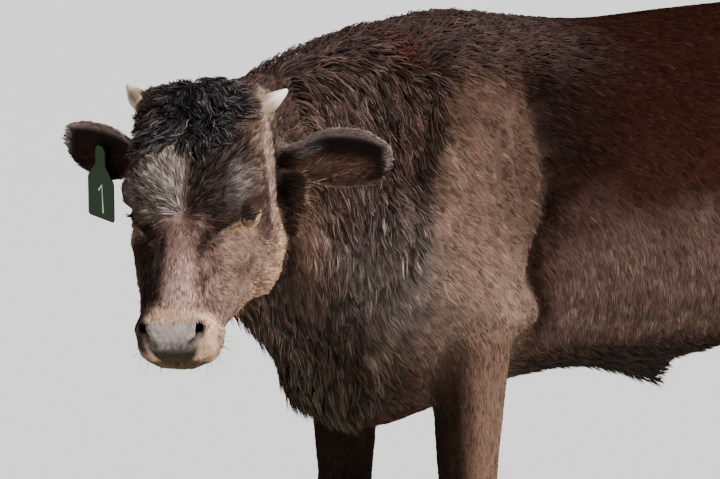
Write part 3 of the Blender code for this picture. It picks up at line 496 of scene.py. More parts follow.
def ease(labels, edges):
    """How far each corner joins in the ironing: the body most, legs and face less."""
    weight = np.full(len(labels), 1.0)
    for words, share in ((("leg", "tail"), 0.30), (("head",), 0.16), (("ear",), 0.07)):
        weight[labelled(labels, *words) > 0] = share
    weight[labelled(labels, "cannon", "pastern") > 0] = 0.18
    return relaxed(weight, edges, 4)


def ironed(points, faces, weight):
    """The Smooth modifier relaxes many corners quickly; a vertex group holds the weight."""
    piece = mesh_object("ironed", points, faces)
    group = piece.vertex_groups.new(name="ease")
    level = np.round(weight * WEIGHT_STEPS).astype(int)
    for step in range(1, WEIGHT_STEPS + 1):
        chosen = np.flatnonzero(level == step)
        if len(chosen):
            group.add(chosen.tolist(), step / WEIGHT_STEPS, "REPLACE")
    smooth = piece.modifiers.new("smooth", "SMOOTH")
    smooth.factor = 0.6
    smooth.iterations = IRONING_ROUNDS
    smooth.vertex_group = "ease"
    return with_modifiers(piece)[0]


skin_points = ironed(skin_points, skin_faces, ease(skin_labels, skin_edges))
skin_depth = coat_depth(skin_points, skin_labels, skin_edges)
skin_points = skin_points - corner_normals(skin_points, skin_faces) * skin_depth[:, None]
skin_points = relaxed(skin_points, skin_edges, 3, 0.5)
tell(f"skin lies {skin_depth.min() * 1000:.1f} to {skin_depth.max() * 1000:.1f} mm deep")

# %% [markdown]
# The body under the coat needs far fewer triangles than the face. A Decimate modifier
# thins it, and a vertex group of zeros keeps it off the head and ears. The face is then
# cut finer instead, most of all round the eyes, nostrils and lips.

# %% Thin the body, refine the face
BODY_SHARE = 0.30


def thinned(points, faces, keep, share):
    piece = mesh_object("thin", points, faces)
    group = piece.vertex_groups.new(name="free")
    group.add(np.flatnonzero(~keep).tolist(), 1.0, "REPLACE")
    thin = piece.modifiers.new("thin", "DECIMATE")
    thin.ratio = share
    thin.vertex_group = "free"
    return with_modifiers(piece)


held = labelled(skin_labels, "head", "ear") > 0
skin_points, skin_faces = thinned(skin_points, skin_faces, held, BODY_SHARE)
tell(f"thinned to {len(skin_faces)} triangles")


def refine_where(points, faces, chosen_corner):
    faces_chosen = chosen_corner(points)[faces].any(1)
    points, faces, fresh = refined(points, faces, faces_chosen, chosen_corner(points) * 1.0)
    return relaxed(points, edges_of(faces), 2, fresh * 0.8), faces


def eye_within(points, reach):
    return sum(np.linalg.norm(points - EYE[side], axis=1) < reach for side in EYE) > 0


def on_face(points):
    head = to_head(points)
    front = (head[:, 0] > 0.225) & (np.abs(head[:, 1]) < 0.09) & (head[:, 2] > -0.15)
    return eye_within(points, 0.062) | front & (head[:, 0] < 0.45)


def near_features(points):
    head = to_head(points)
    muzzle = (head[:, 0] > 0.352) & (np.abs(head[:, 1]) < 0.075) & (head[:, 2] > -0.122)
    return eye_within(points, 0.034) | muzzle


def near_lids(points):
    head = to_head(points)
    holes = sum(spot(head, (0.387, 0.037 * s, -0.054), (0.014, 0.014, 0.014)) for s in (-1, 1))
    return eye_within(points, 0.0235) | (holes > 0.4)


skin_points, skin_faces = refine_where(skin_points, skin_faces, on_face)
skin_points, skin_faces = refine_where(skin_points, skin_faces, near_features)
skin_points, skin_faces = refine_where(skin_points, skin_faces, near_lids)
tell(f"refined to {len(skin_faces)} triangles")

# %% [markdown]
# ## Sculpting the face
#
# A sculptor draws with strokes: a path, a width, and how far it lifts or sinks the clay.
# The same idea works on arrays. Each stroke moves the corners near its path along their
# normals. Paths are given once, for the left of the face, and mirrored for the right.

# %% The stroke
def path_distance(points, path):
    """Each point's distance from a bent path, and where along it, from 0 to 1."""
    path = np.asarray(path, float)
    best = np.full(len(points), np.inf)
    share = np.zeros(len(points))
    for k in range(len(path) - 1):
        run = path[k + 1] - path[k]
        t = np.clip((points - path[k]) @ run / (run @ run), 0, 1)
        apart = np.linalg.norm(points - path[k] - t[:, None] * run, axis=1)
        nearer = apart < best
        best = np.where(nearer, apart, best)
        share = np.where(nearer, (k + t) / (len(path) - 1), share)
    return best, share


def rounded_path(path):
    """Cuts a path's corners twice, so that a stroke bends and doesn't kink."""
    path = np.asarray(path, float)
    for _ in range(2):
        inner = np.stack([path[:-1] * 0.75 + path[1:] * 0.25,
                          path[:-1] * 0.25 + path[1:] * 0.75], 1)
        path = np.concatenate([path[:1], inner.reshape(-1, 3), path[-1:]])
    return path


def stroke(points, normals, path, width, lift, taper=0.0):
    """Lifts the skin by lift along the path, or sinks it where lift is negative."""
    path = rounded_path(path)
    reach = 3 * width
    near = np.flatnonzero(((points > path.min(0) - reach) & (points < path.max(0) + reach)).all(1))
    distance, share = path_distance(points[near], path)
    ends = 1 - taper * np.abs(2 * share - 1) ** 3
    amount = lift * ends * np.exp(-((distance / width) ** 2))
    points[near] += normals[near] * amount[:, None]


def mirrored(path, sign):
    return np.asarray(path) * np.array([1.0, sign, 1.0])


def draw(strokes, points, faces, place):
    """Draws a list of strokes on both sides. place turns a path into places in the world."""
    normals = corner_normals(points, faces)
    for path, width, lift, taper in strokes.values():
        for sign in (1.0, -1.0):
            stroke(points, normals, place(mirrored(path, sign)), width, lift, taper)
    return points


# %% [markdown]
# First the large forms: the brow that overhangs the eye, the hollow in front of the
# cheek's chewing muscle, the crest of bone that runs from the eye to the muzzle, and the
# ridge of the temple below the horn.

# %% Large forms of the face
BEHIND_JAW = [(0.050, 0.096, -0.118), (0.056, 0.090, -0.144), (0.078, 0.088, -0.160),
              (0.084, 0.090, -0.186), (0.100, 0.095, -0.200), (0.118, 0.096, -0.226),
              (0.130, 0.092, -0.262), (0.150, 0.086, -0.300)]
FACE_STROKES = {
    # name: path in head axes on the left, width, lift, how far the ends fade
    "brow": ([(0.140, 0.062, -0.006), (0.180, 0.072, -0.022), (0.214, 0.062, -0.020)],
             0.0150, 0.0050, 0.6),
    "temple_ridge": ([(0.045, 0.098, -0.030), (0.090, 0.100, -0.085), (0.125, 0.098, -0.135)],
                     0.0080, 0.0030, 0.8),
    "temple_hollow": ([(0.070, 0.094, -0.022), (0.115, 0.097, -0.055)], 0.0140, -0.0050, 0.5),
    "muscle_edge": ([(0.232, 0.088, -0.100), (0.245, 0.080, -0.150), (0.222, 0.066, -0.210)],
                    0.0110, -0.0040, 0.7),
    "cheek_hollow": ([(0.282, 0.060, -0.050), (0.305, 0.064, -0.062)], 0.0130, -0.0050, 0.3),
    "face_crest": ([(0.238, 0.060, -0.034), (0.256, 0.043, -0.027), (0.274, 0.033, -0.026),
                    (0.292, 0.037, -0.031), (0.308, 0.046, -0.040)], 0.0055, 0.0028, 0.7),
    "nose_side": ([(0.250, 0.030, -0.020), (0.300, 0.026, -0.026), (0.345, 0.026, -0.034)],
                  0.0090, -0.0018, 0.7),
    "lip_roll": ([(0.395, 0.048, -0.092), (0.370, 0.060, -0.100), (0.345, 0.062, -0.104)],
                 0.0080, 0.0028, 0.6),
    "socket": ([(0.200, 0.074, -0.030), (0.222, 0.068, -0.042), (0.226, 0.076, -0.062),
                (0.212, 0.091, -0.080), (0.186, 0.100, -0.092)], 0.0110, 0.0040, 0.5),
    "under_ear": (BEHIND_JAW[:5], 0.0150, -0.0110, 0.4),
    "behind_jaw": (BEHIND_JAW[4:], 0.0080, -0.0080, 0.6),
    "whorl": ([(0.200, 0.002, -0.010), (0.212, 0.002, -0.012)], 0.0120, -0.0020, 0.0),
}
skin_points = draw(FACE_STROKES, skin_points, skin_faces, from_head)
tell(f"{len(FACE_STROKES)} large forms of the face")

# %% [markdown]
# Lids lie on the eyeball like cloth on a ball, so they are shaped on the ball: near the
# eye each corner's distance from the eyeball's centre is set. Over the lids it is a
# little more than the eyeball's radius, and inside the gap it is less, where the skin
# dives out of sight and the wet eye shows. The left eye is nearly shut against the sun,
# and the right one is a little more open.

# %% Lids
EYE_LOOK = {side: unit(np.array([0.42, 0.85 * s, 0.30])) for side, s in SIDE.items()}
LID_LENGTH = 0.0165
LID_GAP = {"left": 0.0026, "right": 0.0066}
LID_THICKNESS = 0.0019


def eye_frame(side):
    """Directions of sight, towards the outer corner, and towards the brow, in the world."""
    look = EYE_LOOK[side]
    run = np.array([-0.62, 0.45 * SIDE[side], -0.62])
    run = unit(run - (run @ look) * look)
    brow = np.cross(look, run)
    brow = brow * np.sign(brow[2])
    return look @ HEAD_AXES, run @ HEAD_AXES, brow @ HEAD_AXES


def shape_lids(points, side):
    look, run, brow = eye_frame(side)
    local = points - EYE[side]
    far = np.linalg.norm(local, axis=1)
    sight = local @ look
    near = (far < 0.034) & (sight > -0.004)
    angle = np.degrees(np.arccos(np.clip(sight / np.maximum(far, 1e-9), -1, 1)))
    u, v = local @ run - 0.0020, local @ brow + 0.0006
    along = np.clip(u / LID_LENGTH, -1, 1)
    middle = -0.0012 + 0.0022 * along - 0.0015 * along**2
    gap = LID_GAP[side] * (1 - along**2) ** 0.8
    above = v - middle - gap
    below = middle - gap - v
    edge = np.maximum(np.maximum(above, below), (np.abs(u) - LID_LENGTH) * 0.7)
    radius = EYE_RADIUS + LID_THICKNESS + 0.0011 * np.exp(-(((edge - 0.0012) / 0.0011) ** 2))
    fold = 1 - rise(np.abs(u), 0.013, 0.024)
    radius -= 0.0017 * fold * np.exp(-(((above - 0.0062) / 0.0013) ** 2))
    radius -= 0.0012 * fold * np.exp(-(((above - 0.0115) / 0.0014) ** 2))
    radius -= 0.0020 * fold * np.exp(-(((below - 0.0068) / 0.0014) ** 2))
    radius -= 0.0012 * fold * np.exp(-(((below - 0.0115) / 0.0016) ** 2))
    inside = 1 - rise(edge, -0.0007, 0.0005)
    radius = radius * (1 - inside) + (EYE_RADIUS - 0.0035) * inside
    hold = 1 - rise(angle, 48, 88)
    target = far + (radius - far) * hold
    moved = points.copy()
    moved[near] = (EYE[side] + local * (target / np.maximum(far, 1e-9))[:, None])[near]
    return moved


for side in SIDE:
    skin_points = shape_lids(skin_points, side)
TEAR_CREASE = [(0.239, 0.063, -0.034), (0.225, 0.072, -0.035), (0.218, 0.078, -0.038),
               (0.210, 0.080, -0.046)]
LID_STROKES = {
    "lower_lid_roll": ([(0.236, 0.058, -0.031), (0.218, 0.072, -0.034), (0.207, 0.081, -0.044),
                        (0.196, 0.088, -0.060), (0.183, 0.093, -0.076), (0.166, 0.097, -0.078)],
                       0.0034, 0.0028, 0.5),
    "under_lid_crease": ([(0.161, 0.099, -0.076), (0.168, 0.096, -0.088), (0.180, 0.093, -0.090),
                          (0.198, 0.089, -0.081), (0.214, 0.088, -0.068)], 0.0030, -0.0048, 0.5),
    "tear_trough": (TEAR_CREASE, 0.0024, -0.0034, 0.6),
    "upper_fold": ([(0.158, 0.097, -0.052), (0.182, 0.090, -0.040), (0.206, 0.076, -0.032)],
                   0.0030, -0.0020, 0.7),
}
skin_points = draw(LID_STROKES, skin_points, skin_faces, from_head)
tell("lids and their folds")

# %% [markdown]
# A steer's nostril is a comma: a round hole high on the side of the pad, whose tail
# curls down and in. It sinks towards the throat and not along the normal, so its outer
# wing stays thick. The mouth is a fine deep line under the pad.

# %% Nostrils and mouth
NOSTRIL = [(0.3800, 0.0445, -0.0465), (0.3865, 0.0435, -0.0530), (0.3925, 0.0370, -0.0600),
           (0.3965, 0.0260, -0.0680)]
NOSTRIL_DEPTH = 0.015


def from_nostril(points, sign):
    """Distance from the nostril's middle line, and how far along it."""
    return path_distance(points, rounded_path(from_head(mirrored(NOSTRIL, sign))))


def open_nostril(points, faces, sign):
    distance, share = from_nostril(points, sign)
    inward = unit(np.array([-0.80, -0.30 * sign, -0.22])) @ HEAD_AXES
    width = 0.0050 - 0.0012 * rise(share, 0.35, 0.85)
    depth = NOSTRIL_DEPTH * (1 - 0.88 * rise(share, 0.38, 0.72))
    sunk = (depth * np.exp(-((distance / width) ** 4)))[:, None] * inward
    wing = 0.0010 * np.exp(-(((distance - 2.2 * width) / 0.0032) ** 2))
    near = distance < 0.02
    moved = points.copy()
    moved[near] += (sunk + corner_normals(points, faces) * wing[:, None])[near]
    return moved


MOUTH_STROKES = {
    "mouth": ([(0.4060, 0.000, -0.1030), (0.4060, 0.018, -0.1010), (0.4010, 0.037, -0.0990),
               (0.3870, 0.056, -0.1080), (0.3650, 0.062, -0.1160), (0.3380, 0.063, -0.1190)],
              0.0021, -0.0050, 0.3),
    "lip_fold": ([(0.352, 0.061, -0.070), (0.342, 0.063, -0.092), (0.336, 0.064, -0.112)],
                 0.0030, -0.0016, 0.7),
    "philtrum": ([(0.3860, 0.000, -0.0560), (0.4000, 0.000, -0.0720), (0.4080, 0.000, -0.0880)],
                 0.0016, -0.0006, 0.6),
    "chin": ([(0.398, 0.0, -0.122), (0.398, 0.022, -0.120)], 0.0080, 0.0015, 0.3),
}
skin_points = draw(MOUTH_STROKES, skin_points, skin_faces, from_head)
nostril_gap = np.ones(len(skin_points))
for sign in (1.0, -1.0):
    distance, share = from_nostril(skin_points, sign)
    nostril_gap = np.minimum(nostril_gap, distance + 0.0050 * rise(share, 0.36, 0.66))
    skin_points = open_nostril(skin_points, skin_faces, sign)
tell("nostrils and mouth")

# %% [markdown]
# The body gets fewer and broader strokes: the edge of the shoulder blade's muscles with
# the crease behind it, the folds over the shoulder, the crease above the elbow, a few
# ribs, the hollow and the fold of the flank, and the front edge of the thigh.

# %% Folds of the body
SHOULDER_EDGE = [(-0.150, 0.108, 1.099), (-0.173, 0.161, 1.026), (-0.168, 0.189, 0.958),
                 (-0.166, 0.204, 0.875), (-0.180, 0.202, 0.822), (-0.209, 0.203, 0.778),
                 (-0.190, 0.196, 0.735), (-0.155, 0.179, 0.693)]
BODY_STROKES = {
    # name: path in the world on the animal's right, width, lift, how far the ends fade
    "shoulder_crease": (SHOULDER_EDGE, 0.0160, -0.0120, 0.6),
    "shoulder_lip": ([(x - 0.026, y, z) for x, y, z in SHOULDER_EDGE], 0.0170, 0.0080, 0.6),
    "front_fold": ([(-0.262, 0.186, 0.995), (-0.270, 0.194, 0.933), (-0.260, 0.199, 0.872),
                    (-0.252, 0.209, 0.822)], 0.0150, -0.0080, 0.8),
    "rear_fold": ([(-0.192, 0.169, 1.004), (-0.220, 0.189, 0.945), (-0.238, 0.201, 0.871)],
                  0.0140, -0.0075, 0.8),
    "elbow_fold": ([(-0.364, 0.169, 0.655), (-0.345, 0.193, 0.673), (-0.279, 0.210, 0.679),
                    (-0.233, 0.194, 0.664)], 0.0150, -0.0050, 0.8),
    "flank_hollow": ([(0.420, 0.225, 0.960), (0.405, 0.235, 0.860)], 0.0700, -0.0080, 0.2),
    "flank_fold": ([(0.440, 0.200, 0.700), (0.415, 0.205, 0.640)], 0.0200, -0.0060, 0.6),
    "thigh_edge": ([(0.560, 0.205, 0.960), (0.500, 0.222, 0.830), (0.455, 0.215, 0.720)],
                   0.0250, 0.0050, 0.7),
}
RIBS = 7
FIRST_RIB = -0.06
RIB_SPACING = 0.062
for rib in range(RIBS):
    x = FIRST_RIB + RIB_SPACING * rib
    path = [(x, 0.235, 0.97), (x - 0.015, 0.262, 0.85), (x - 0.05, 0.235, 0.73)]
    BODY_STROKES[f"rib_{rib}"] = (path, 0.0130, -0.0018, 0.9)
skin_points = draw(BODY_STROKES, skin_points, skin_faces, np.asarray)
tell(f"{len(BODY_STROKES)} folds and {RIBS} ribs a side")

# %% [markdown]
# An ear is a leaf rolled into a cup. Its own axes are taken from its root, its run and the
# way it opens. Two shares, along it and across it, tell the rim from the bowl. The upper
# rim folds over a little and the lower rim less, which gives the ear its soft edge.

# %% The ears' folded edge
EAR = {
    # root in head axes, run and opening in world axes, reach above and below its midline
    "left": ((0.050, 0.086, -0.108),
             (0.757, -0.653, 0.040), (-0.625, -0.720, -0.255), 1.00, 1.00),
    "right": ((0.055, -0.084, -0.112),
              (-0.215, 0.943, 0.253), (-0.967, -0.168, -0.193), 0.80, 1.06),
}
EAR_LENGTH = 0.182
EAR_HALF = 0.051


def ear_axes(side):
    root, run, opening = (np.array(v) for v in EAR[side][:3])
    run = unit(run)
    opening = unit(opening - (opening @ run) * run)
    above = np.cross(run, opening)
    return from_head(root), run, opening, above * np.sign(above[2])


def ear_places(points, side):
    """How far along the ear, and how far across it from its midline, as shares."""
    root, run, _, above = ear_axes(side)
    along = (points - root) @ run / EAR_LENGTH
    across = (points - root) @ above
    half = EAR_HALF * (0.40 + 0.60 * rise(along, 0.10, 0.52))
    half *= np.sqrt(np.maximum(1 - np.maximum(0, (along - 0.55) / 0.45) ** 2.5, 0.02))
    return along, across / (half * np.where(across > 0, EAR[side][3], EAR[side][4]))


skin_labels = nearest_labels(skin_points)
for side, sign in SIDE.items():
    along, across = ear_places(skin_points, side)
    own = labelled(skin_labels, "ear") * (to_head(skin_points)[:, 1] * sign > 0)
    own = relaxed(own, edges_of(skin_faces), 3)
    folded = np.exp(-(((across - 0.84) / 0.15) ** 2)) * rise(along, 0.06, 0.20)
    folded += 0.6 * np.exp(-(((across + 0.90) / 0.12) ** 2)) * rise(along, 0.15, 0.30)
    folded *= (1 - rise(along, 0.90, 1.0)) * own
    skin_points = skin_points + folded[:, None] * ear_axes(side)[2] * 0.0055
skin_points = relaxed(skin_points, edges_of(skin_faces), 1, labelled(skin_labels, "ear"))
tell("ears folded")

# %% [markdown]
# ## What grows where
#
# The coat changes over the body, but never in jumps. So every corner of the skin is told
# how far it belongs to each region: a soft mask from 0 to 1. Everything else, the way the
# hair lies, its length, its colour, is a base value with one layer per region laid over
# it. The same layers colour the skin and the coat, so the two carry the same markings.

# %% Parts of the body as soft masks
PARTS = ("head", "neck", "trunk", "ear", "leg", "cannon", "pastern", "tail", "switch")
skin_edges = edges_of(skin_faces)
skin_normals = corner_normals(skin_points, skin_faces)
skin_in_head = to_head(skin_points)
here = {part: relaxed(labelled(skin_labels, part), skin_edges, 8) for part in PARTS}
skin_folded = np.abs(skin_points * [0, 1, 0]) + skin_points * [1, 0, 1]


def in_body(centre, radii):
    """A soft spot on the body, the same on both sides."""
    return spot(skin_folded, centre, radii)


def in_face(centre, radii, both=True):
    """A soft spot on the head, on both sides unless it is only on one."""
    total = spot(skin_in_head, centre, radii)
    if both:
        total = total + spot(skin_in_head * [1, -1, 1], centre, radii)
    return np.minimum(total, 1.0) * here["head"]


def along_paths(path, width, part="head", both=True):
    """1 on a path across a part, fading over the width."""
    distance = path_distance(skin_in_head, rounded_path(path))[0]
    if both:
        distance = np.minimum(distance, path_distance(skin_in_head * [1, -1, 1],
                                                      rounded_path(path))[0])
    return np.exp(-((distance / width) ** 2)) * here[part]


def along_body(path, width):
    """The same for a path over the trunk, on both sides."""
    distance = path_distance(skin_folded, rounded_path(path))[0]
    return np.exp(-((distance / width) ** 2)) * here["trunk"]


# %% [markdown]
# The body's regions are bands of height and length, soft spots on both sides, and the
# line of the shoulder's rear edge, with a little waviness, so that no border is ruled.
# Some are painted shade: the folds over the shoulder, the crease behind it, and the
# fronts and inner sides of the legs.

# %% Regions of the body
x, y, z = skin_points.T
up = skin_normals[:, 2]
here["body"] = np.clip(here["trunk"] + here["neck"], 0, 1)
ragged = 0.014 * np.sin(38 * x + 23 * z) + 0.010 * np.sin(67 * z - 19 * x + 1)
here["shoulder"] = in_body((-0.29, 0.19, 0.83), (0.12, 0.2, 0.22))
here["shoulder"] = here["trunk"] * np.minimum(1.25 * here["shoulder"] * (1 + 14 * ragged), 1)
here["shoulder_low"] = here["shoulder"] * (1 - rise(z, 0.66, 0.86))
here["withers"] = here["trunk"] * rise(z, 0.99, 1.08) * (1 - rise(x, -0.15, 0.10))
here["flank_low"] = here["trunk"] * rise(z, 0.60, 0.67) * (1 - rise(z + ragged, 0.75, 0.90))
here["flank_low"] *= rise(x, -0.2, -0.1) * (1 - rise(x + 2 * ragged, 0.18, 0.58))
here["belly"] = here["trunk"] * (1 - rise(z, 0.59, 0.66)) * rise(x, -0.3, -0.2)
here["brisket"] = here["body"] * spot(skin_points, (-0.46, 0.0, 0.60), (0.09, 0.14, 0.09))
here["crest"] = np.clip(here["neck"] + here["withers"], 0, 1) * rise(up, 0.45, 0.85)
here["orange"] = spot(skin_points, (-0.362, -0.075, 1.098), (0.03, 0.035, 0.03)) * here["body"]
here["throat"] = here["body"] * rise(-up, 0.15, 0.5) * (1 - rise(x, -0.48, -0.38))
here["pale_neck"] = here["body"] * spot(skin_points, (-0.430, -0.150, 0.760), (0.050, 0.10, 0.095))
here["neck_dark"] = here["neck"] * spot(skin_points, (-0.42, -0.06, 0.95), (0.050, 0.15, 0.11))
here["flank"] = here["trunk"] * in_body((0.42, 0.23, 0.78), (0.09, 0.15, 0.12))
here["thigh"] = here["trunk"] * rise(x, 0.46, 0.57)
here["hindquarters"] = rise(x, 0.15, 0.30)
here["shin"] = here["leg"] * (1 - rise(z, 0.30, 0.42))
here["hind_leg"] = here["leg"] * rise(x, 0.1, 0.2)
here["stifle"] = here["hind_leg"] * rise(z + 2 * ragged, 0.40, 0.62)
here["foot"] = here["leg"] * (1 - rise(z, 0.09, 0.15))
# The fronts of the forearms and the inner sides of the legs are darkened as painted shade.
inward_face = -skin_normals[:, 1] * np.sign(y) * 0.8 - 0.5 * skin_normals[:, 0]
here["shaded_leg_front"] = here["leg"] * rise(-skin_normals[:, 0], 0.1, 0.8) * rise(z, 0.30, 0.42)
here["shaded_leg_inside"] = here["leg"] * rise(inward_face, 0.0, 0.5) * rise(0.62 - z, 0, 0.1)
# The folds over the shoulder blade are darkened as painted shade.
here["shaded_blade_folds"] = np.maximum(along_body(BODY_STROKES["front_fold"][0], 0.024),
                                 along_body(BODY_STROKES["rear_fold"][0], 0.026))
edge_corners = np.array(sorted(SHOULDER_EDGE, key=lambda corner: corner[2]))
past_edge = x - np.interp(z, edge_corners[:, 2], edge_corners[:, 0]) + 0.004
behind = rise(past_edge, -0.006, 0.006)
here["shoulder"] *= 1 - behind * rise(z, 0.66, 0.70)
here["shoulder_low"] *= 1 - behind * rise(z, 0.66, 0.70)
# Behind the shoulder's edge the coat is darker, partly its own colour and partly painted shadow.
here["behind_blade"] = here["trunk"] * behind * (1 - rise(past_edge, 0.06, 0.20))
here["behind_blade"] *= rise(z, 0.84, 0.94) * (1 - rise(z, 1.02, 1.12))
here["back_red"] = here["trunk"] * rise(z, 0.90, 1.02) * rise(x, -0.10, 0.0)
here["lower_flank"] = here["trunk"] * (1 - rise(z, 0.72, 0.92)) * rise(x, -0.2, -0.1)
here["shoulder_rear"] = here["trunk"] * in_body((-0.195, 0.19, 0.90), (0.035, 0.2, 0.13))
here["sheath"] = here["trunk"] * spot(skin_points, (0.16, 0.0, 0.57), (0.05, 0.04, 0.04))
print(f"{len(here)} masks so far")

# %% [markdown]
# The head's regions follow what lies under the hair: the poll, the brow, the temple with
# its pale strip, the lids and creases round the eye, the cheek, the jaw and the nose.
# Narrow ones are paths in the head's own axes. Some regions carry painted light: shade on
# the far side of the nose and muzzle, under the ear, in the hollows and creases and on one
# half of the forehead, and a sheen on the other half.

# %% Paths on the head
WHORL = np.array([0.206, -0.001, -0.012])
TEMPLE_STRIP = [(0.003, 0.094, -0.012), (0.025, 0.099, -0.020), (0.045, 0.099, -0.029),
                (0.065, 0.099, -0.040), (0.081, 0.099, -0.054), (0.093, 0.100, -0.075),
                (0.106, 0.099, -0.095), (0.120, 0.097, -0.114), (0.134, 0.096, -0.137)]
TEMPLE_BAND = [(0.041, 0.088, -0.009), (0.065, 0.087, -0.013), (0.090, 0.089, -0.016),
               (0.111, 0.093, -0.024), (0.135, 0.100, -0.028), (0.156, 0.102, -0.034)]
LID_EDGE = [(0.234, 0.059, -0.031), (0.226, 0.065, -0.032), (0.218, 0.072, -0.032),
            (0.210, 0.079, -0.038), (0.200, 0.083, -0.051), (0.195, 0.088, -0.058),
            (0.184, 0.092, -0.072), (0.174, 0.094, -0.076), (0.160, 0.099, -0.075)]
LOWER_LID = [(0.222, 0.077, -0.038), (0.210, 0.083, -0.053), (0.194, 0.088, -0.073),
             (0.181, 0.093, -0.081), (0.167, 0.095, -0.081)]
UPPER_LID = [(0.228, 0.050, -0.025), (0.222, 0.063, -0.028), (0.209, 0.074, -0.030),
             (0.194, 0.079, -0.038), (0.182, 0.088, -0.044)]
LID_CREASE = [(0.161, 0.099, -0.074), (0.168, 0.096, -0.088), (0.180, 0.093, -0.090),
              (0.198, 0.089, -0.081), (0.214, 0.088, -0.068)]
CHEEK_HOLLOW = [(0.234, 0.082, -0.106), (0.256, 0.081, -0.094), (0.267, 0.077, -0.073)]
NOSE_HOLLOW = [(0.291, 0.048, -0.040), (0.301, 0.044, -0.037), (0.314, 0.034, -0.037)]

# %% Regions of the head
a, l, o = skin_in_head.T  # along the face, to its left, out of the forehead
poll_edge = 0.106 - 9.5 * np.maximum(l, 0) ** 2 + 0.007 * np.sin(85 * l)
poll_edge += 0.005 * np.sin(190 * l + 1)
here["poll"] = here["head"] * (1 - rise(a - poll_edge, -0.026, 0.014)) * rise(o, -0.085, -0.050)
here["forelock"] = here["head"] * (1 - rise(a, 0.10, 0.185)) * rise(o, -0.075, -0.035)
here["cheek"] = here["head"] * rise(np.abs(l), 0.040, 0.066) * rise(a, 0.16, 0.22)
here["jaw"] = here["head"] * rise(-o, 0.12, 0.17) * (1 - rise(a, 0.33, 0.36))
jaw_edge = np.array(BEHIND_JAW)
past_jaw = np.interp(a, jaw_edge[:, 0], jaw_edge[:, 2]) - o
here["past_jaw"] = here["head"] * rise(past_jaw, -0.004, 0.006) * rise(l, 0.0, 0.03)
here["nose"] = in_face((0.29, 0.0, -0.02), (0.075, 0.036, 0.05))
here["nose_low"] = in_face((0.325, 0.010, -0.03), (0.050, 0.030, 0.05), False)
here["front"] = np.clip(here["head"] + here["neck"] + here["ear"], 0, 1)
# The pale strip down the temple is partly the coat's own colour and partly a painted highlight
# along the bony ridge.
here["strip_edge"] = along_paths(TEMPLE_STRIP, 0.0160)
here["strip"] = along_paths(np.array(TEMPLE_STRIP) + [0.0, -0.003, 0.006], 0.0130)
here["band"] = along_paths(TEMPLE_BAND, 0.0110)
# Painted shadow, near black, in the gap under the ear and behind the jaw.
here["under_ear"] = along_paths(BEHIND_JAW[:5], 0.0170, "front")
here["under_ear"] = np.maximum(here["under_ear"], along_paths(BEHIND_JAW, 0.0110, "front"))
here["rust"] = along_paths([(0.092, 0.114, -0.210), (0.110, 0.110, -0.245), (0.132, 0.108, -0.285),
                            (0.152, 0.103, -0.325)], 0.0160, "front", False)
for mask, start, end, width in (
        ("pale_locks", (0.085, 0.178, -0.270), (0.130, 0.188, -0.325), 0.0120),
        ("pale_locks", (0.075, 0.140, -0.235), (0.110, 0.142, -0.285), 0.0080),
        ("tan_patches", (0.175, 0.214, -0.390), (0.198, 0.198, -0.410), 0.0170),
        ("tan_patches", (0.190, 0.040, -0.420), (0.222, 0.050, -0.432), 0.0150)):
    here[mask] = here.get(mask, 0.0) + along_paths([start, end], width, "body", False)
here["near_jaw"] = along_paths(BEHIND_JAW, 0.0300, "front")
here["sheen"] = in_face((0.163, 0.075, -0.012), (0.027, 0.019, 0.024))
# Painted shade over the far side of the nose bridge.
here["nose_far_shadow"] = here["head"] * rise(-l, 0.012, 0.026) * rise(o, -0.13, -0.04)
here["nose_far_shadow"] *= rise(a, 0.222, 0.245) * (1 - rise(a, 0.336, 0.352))
# The cheek and nose hollows are darkened as painted shade.
here["hollow"] = np.maximum(along_paths(CHEEK_HOLLOW, 0.0140, "head", False),
                            along_paths(NOSE_HOLLOW, 0.0080, "head", False))
here["brow"] = in_face((0.183, 0.064, -0.018), (0.034, 0.028, 0.03))
forehead = here["head"] * rise(a, 0.075, 0.105) * (1 - rise(a, 0.198, 0.226))
forehead *= rise(o, -0.06, -0.03)
# The forehead's left half is darkened as painted shade, its right half lightened as a painted
# sheen.
here["shaded_side"] = forehead * rise(l, -0.002, 0.009) * (1 - rise(l, 0.072, 0.090))
here["sheen_side"] = forehead * rise(-l, -0.002, 0.008) * (1 - rise(-l, 0.052, 0.074))

# %% Round the eye
for mask, radius, gain in (("eye", 0.027, 1.3), ("lids", 0.028, 2.2)):
    near_eyes = sum(spot(skin_points, EYE[side], (radius,) * 3) for side in EYE) * here["head"]
    here[mask] = np.minimum(gain * near_eyes, 1.0)
# The pale rim of the lower lid is partly its own colour and partly a painted highlight.
here["lid_edge"] = along_paths(LID_EDGE, 0.0019)
here["lower_lid"] = along_paths(LOWER_LID, 0.0060)
here["upper_lid"] = along_paths(UPPER_LID, 0.0085)
# The creases under the lid are darkened as painted shade.
here["lid_crease"] = np.maximum(along_paths(LID_CREASE, 0.0026), along_paths(TEAR_CREASE, 0.0022))
here["tear_dark"] = along_paths([(0.222, 0.044, -0.022), (0.240, 0.037, -0.023),
                                 (0.258, 0.029, -0.023)], 0.0100)

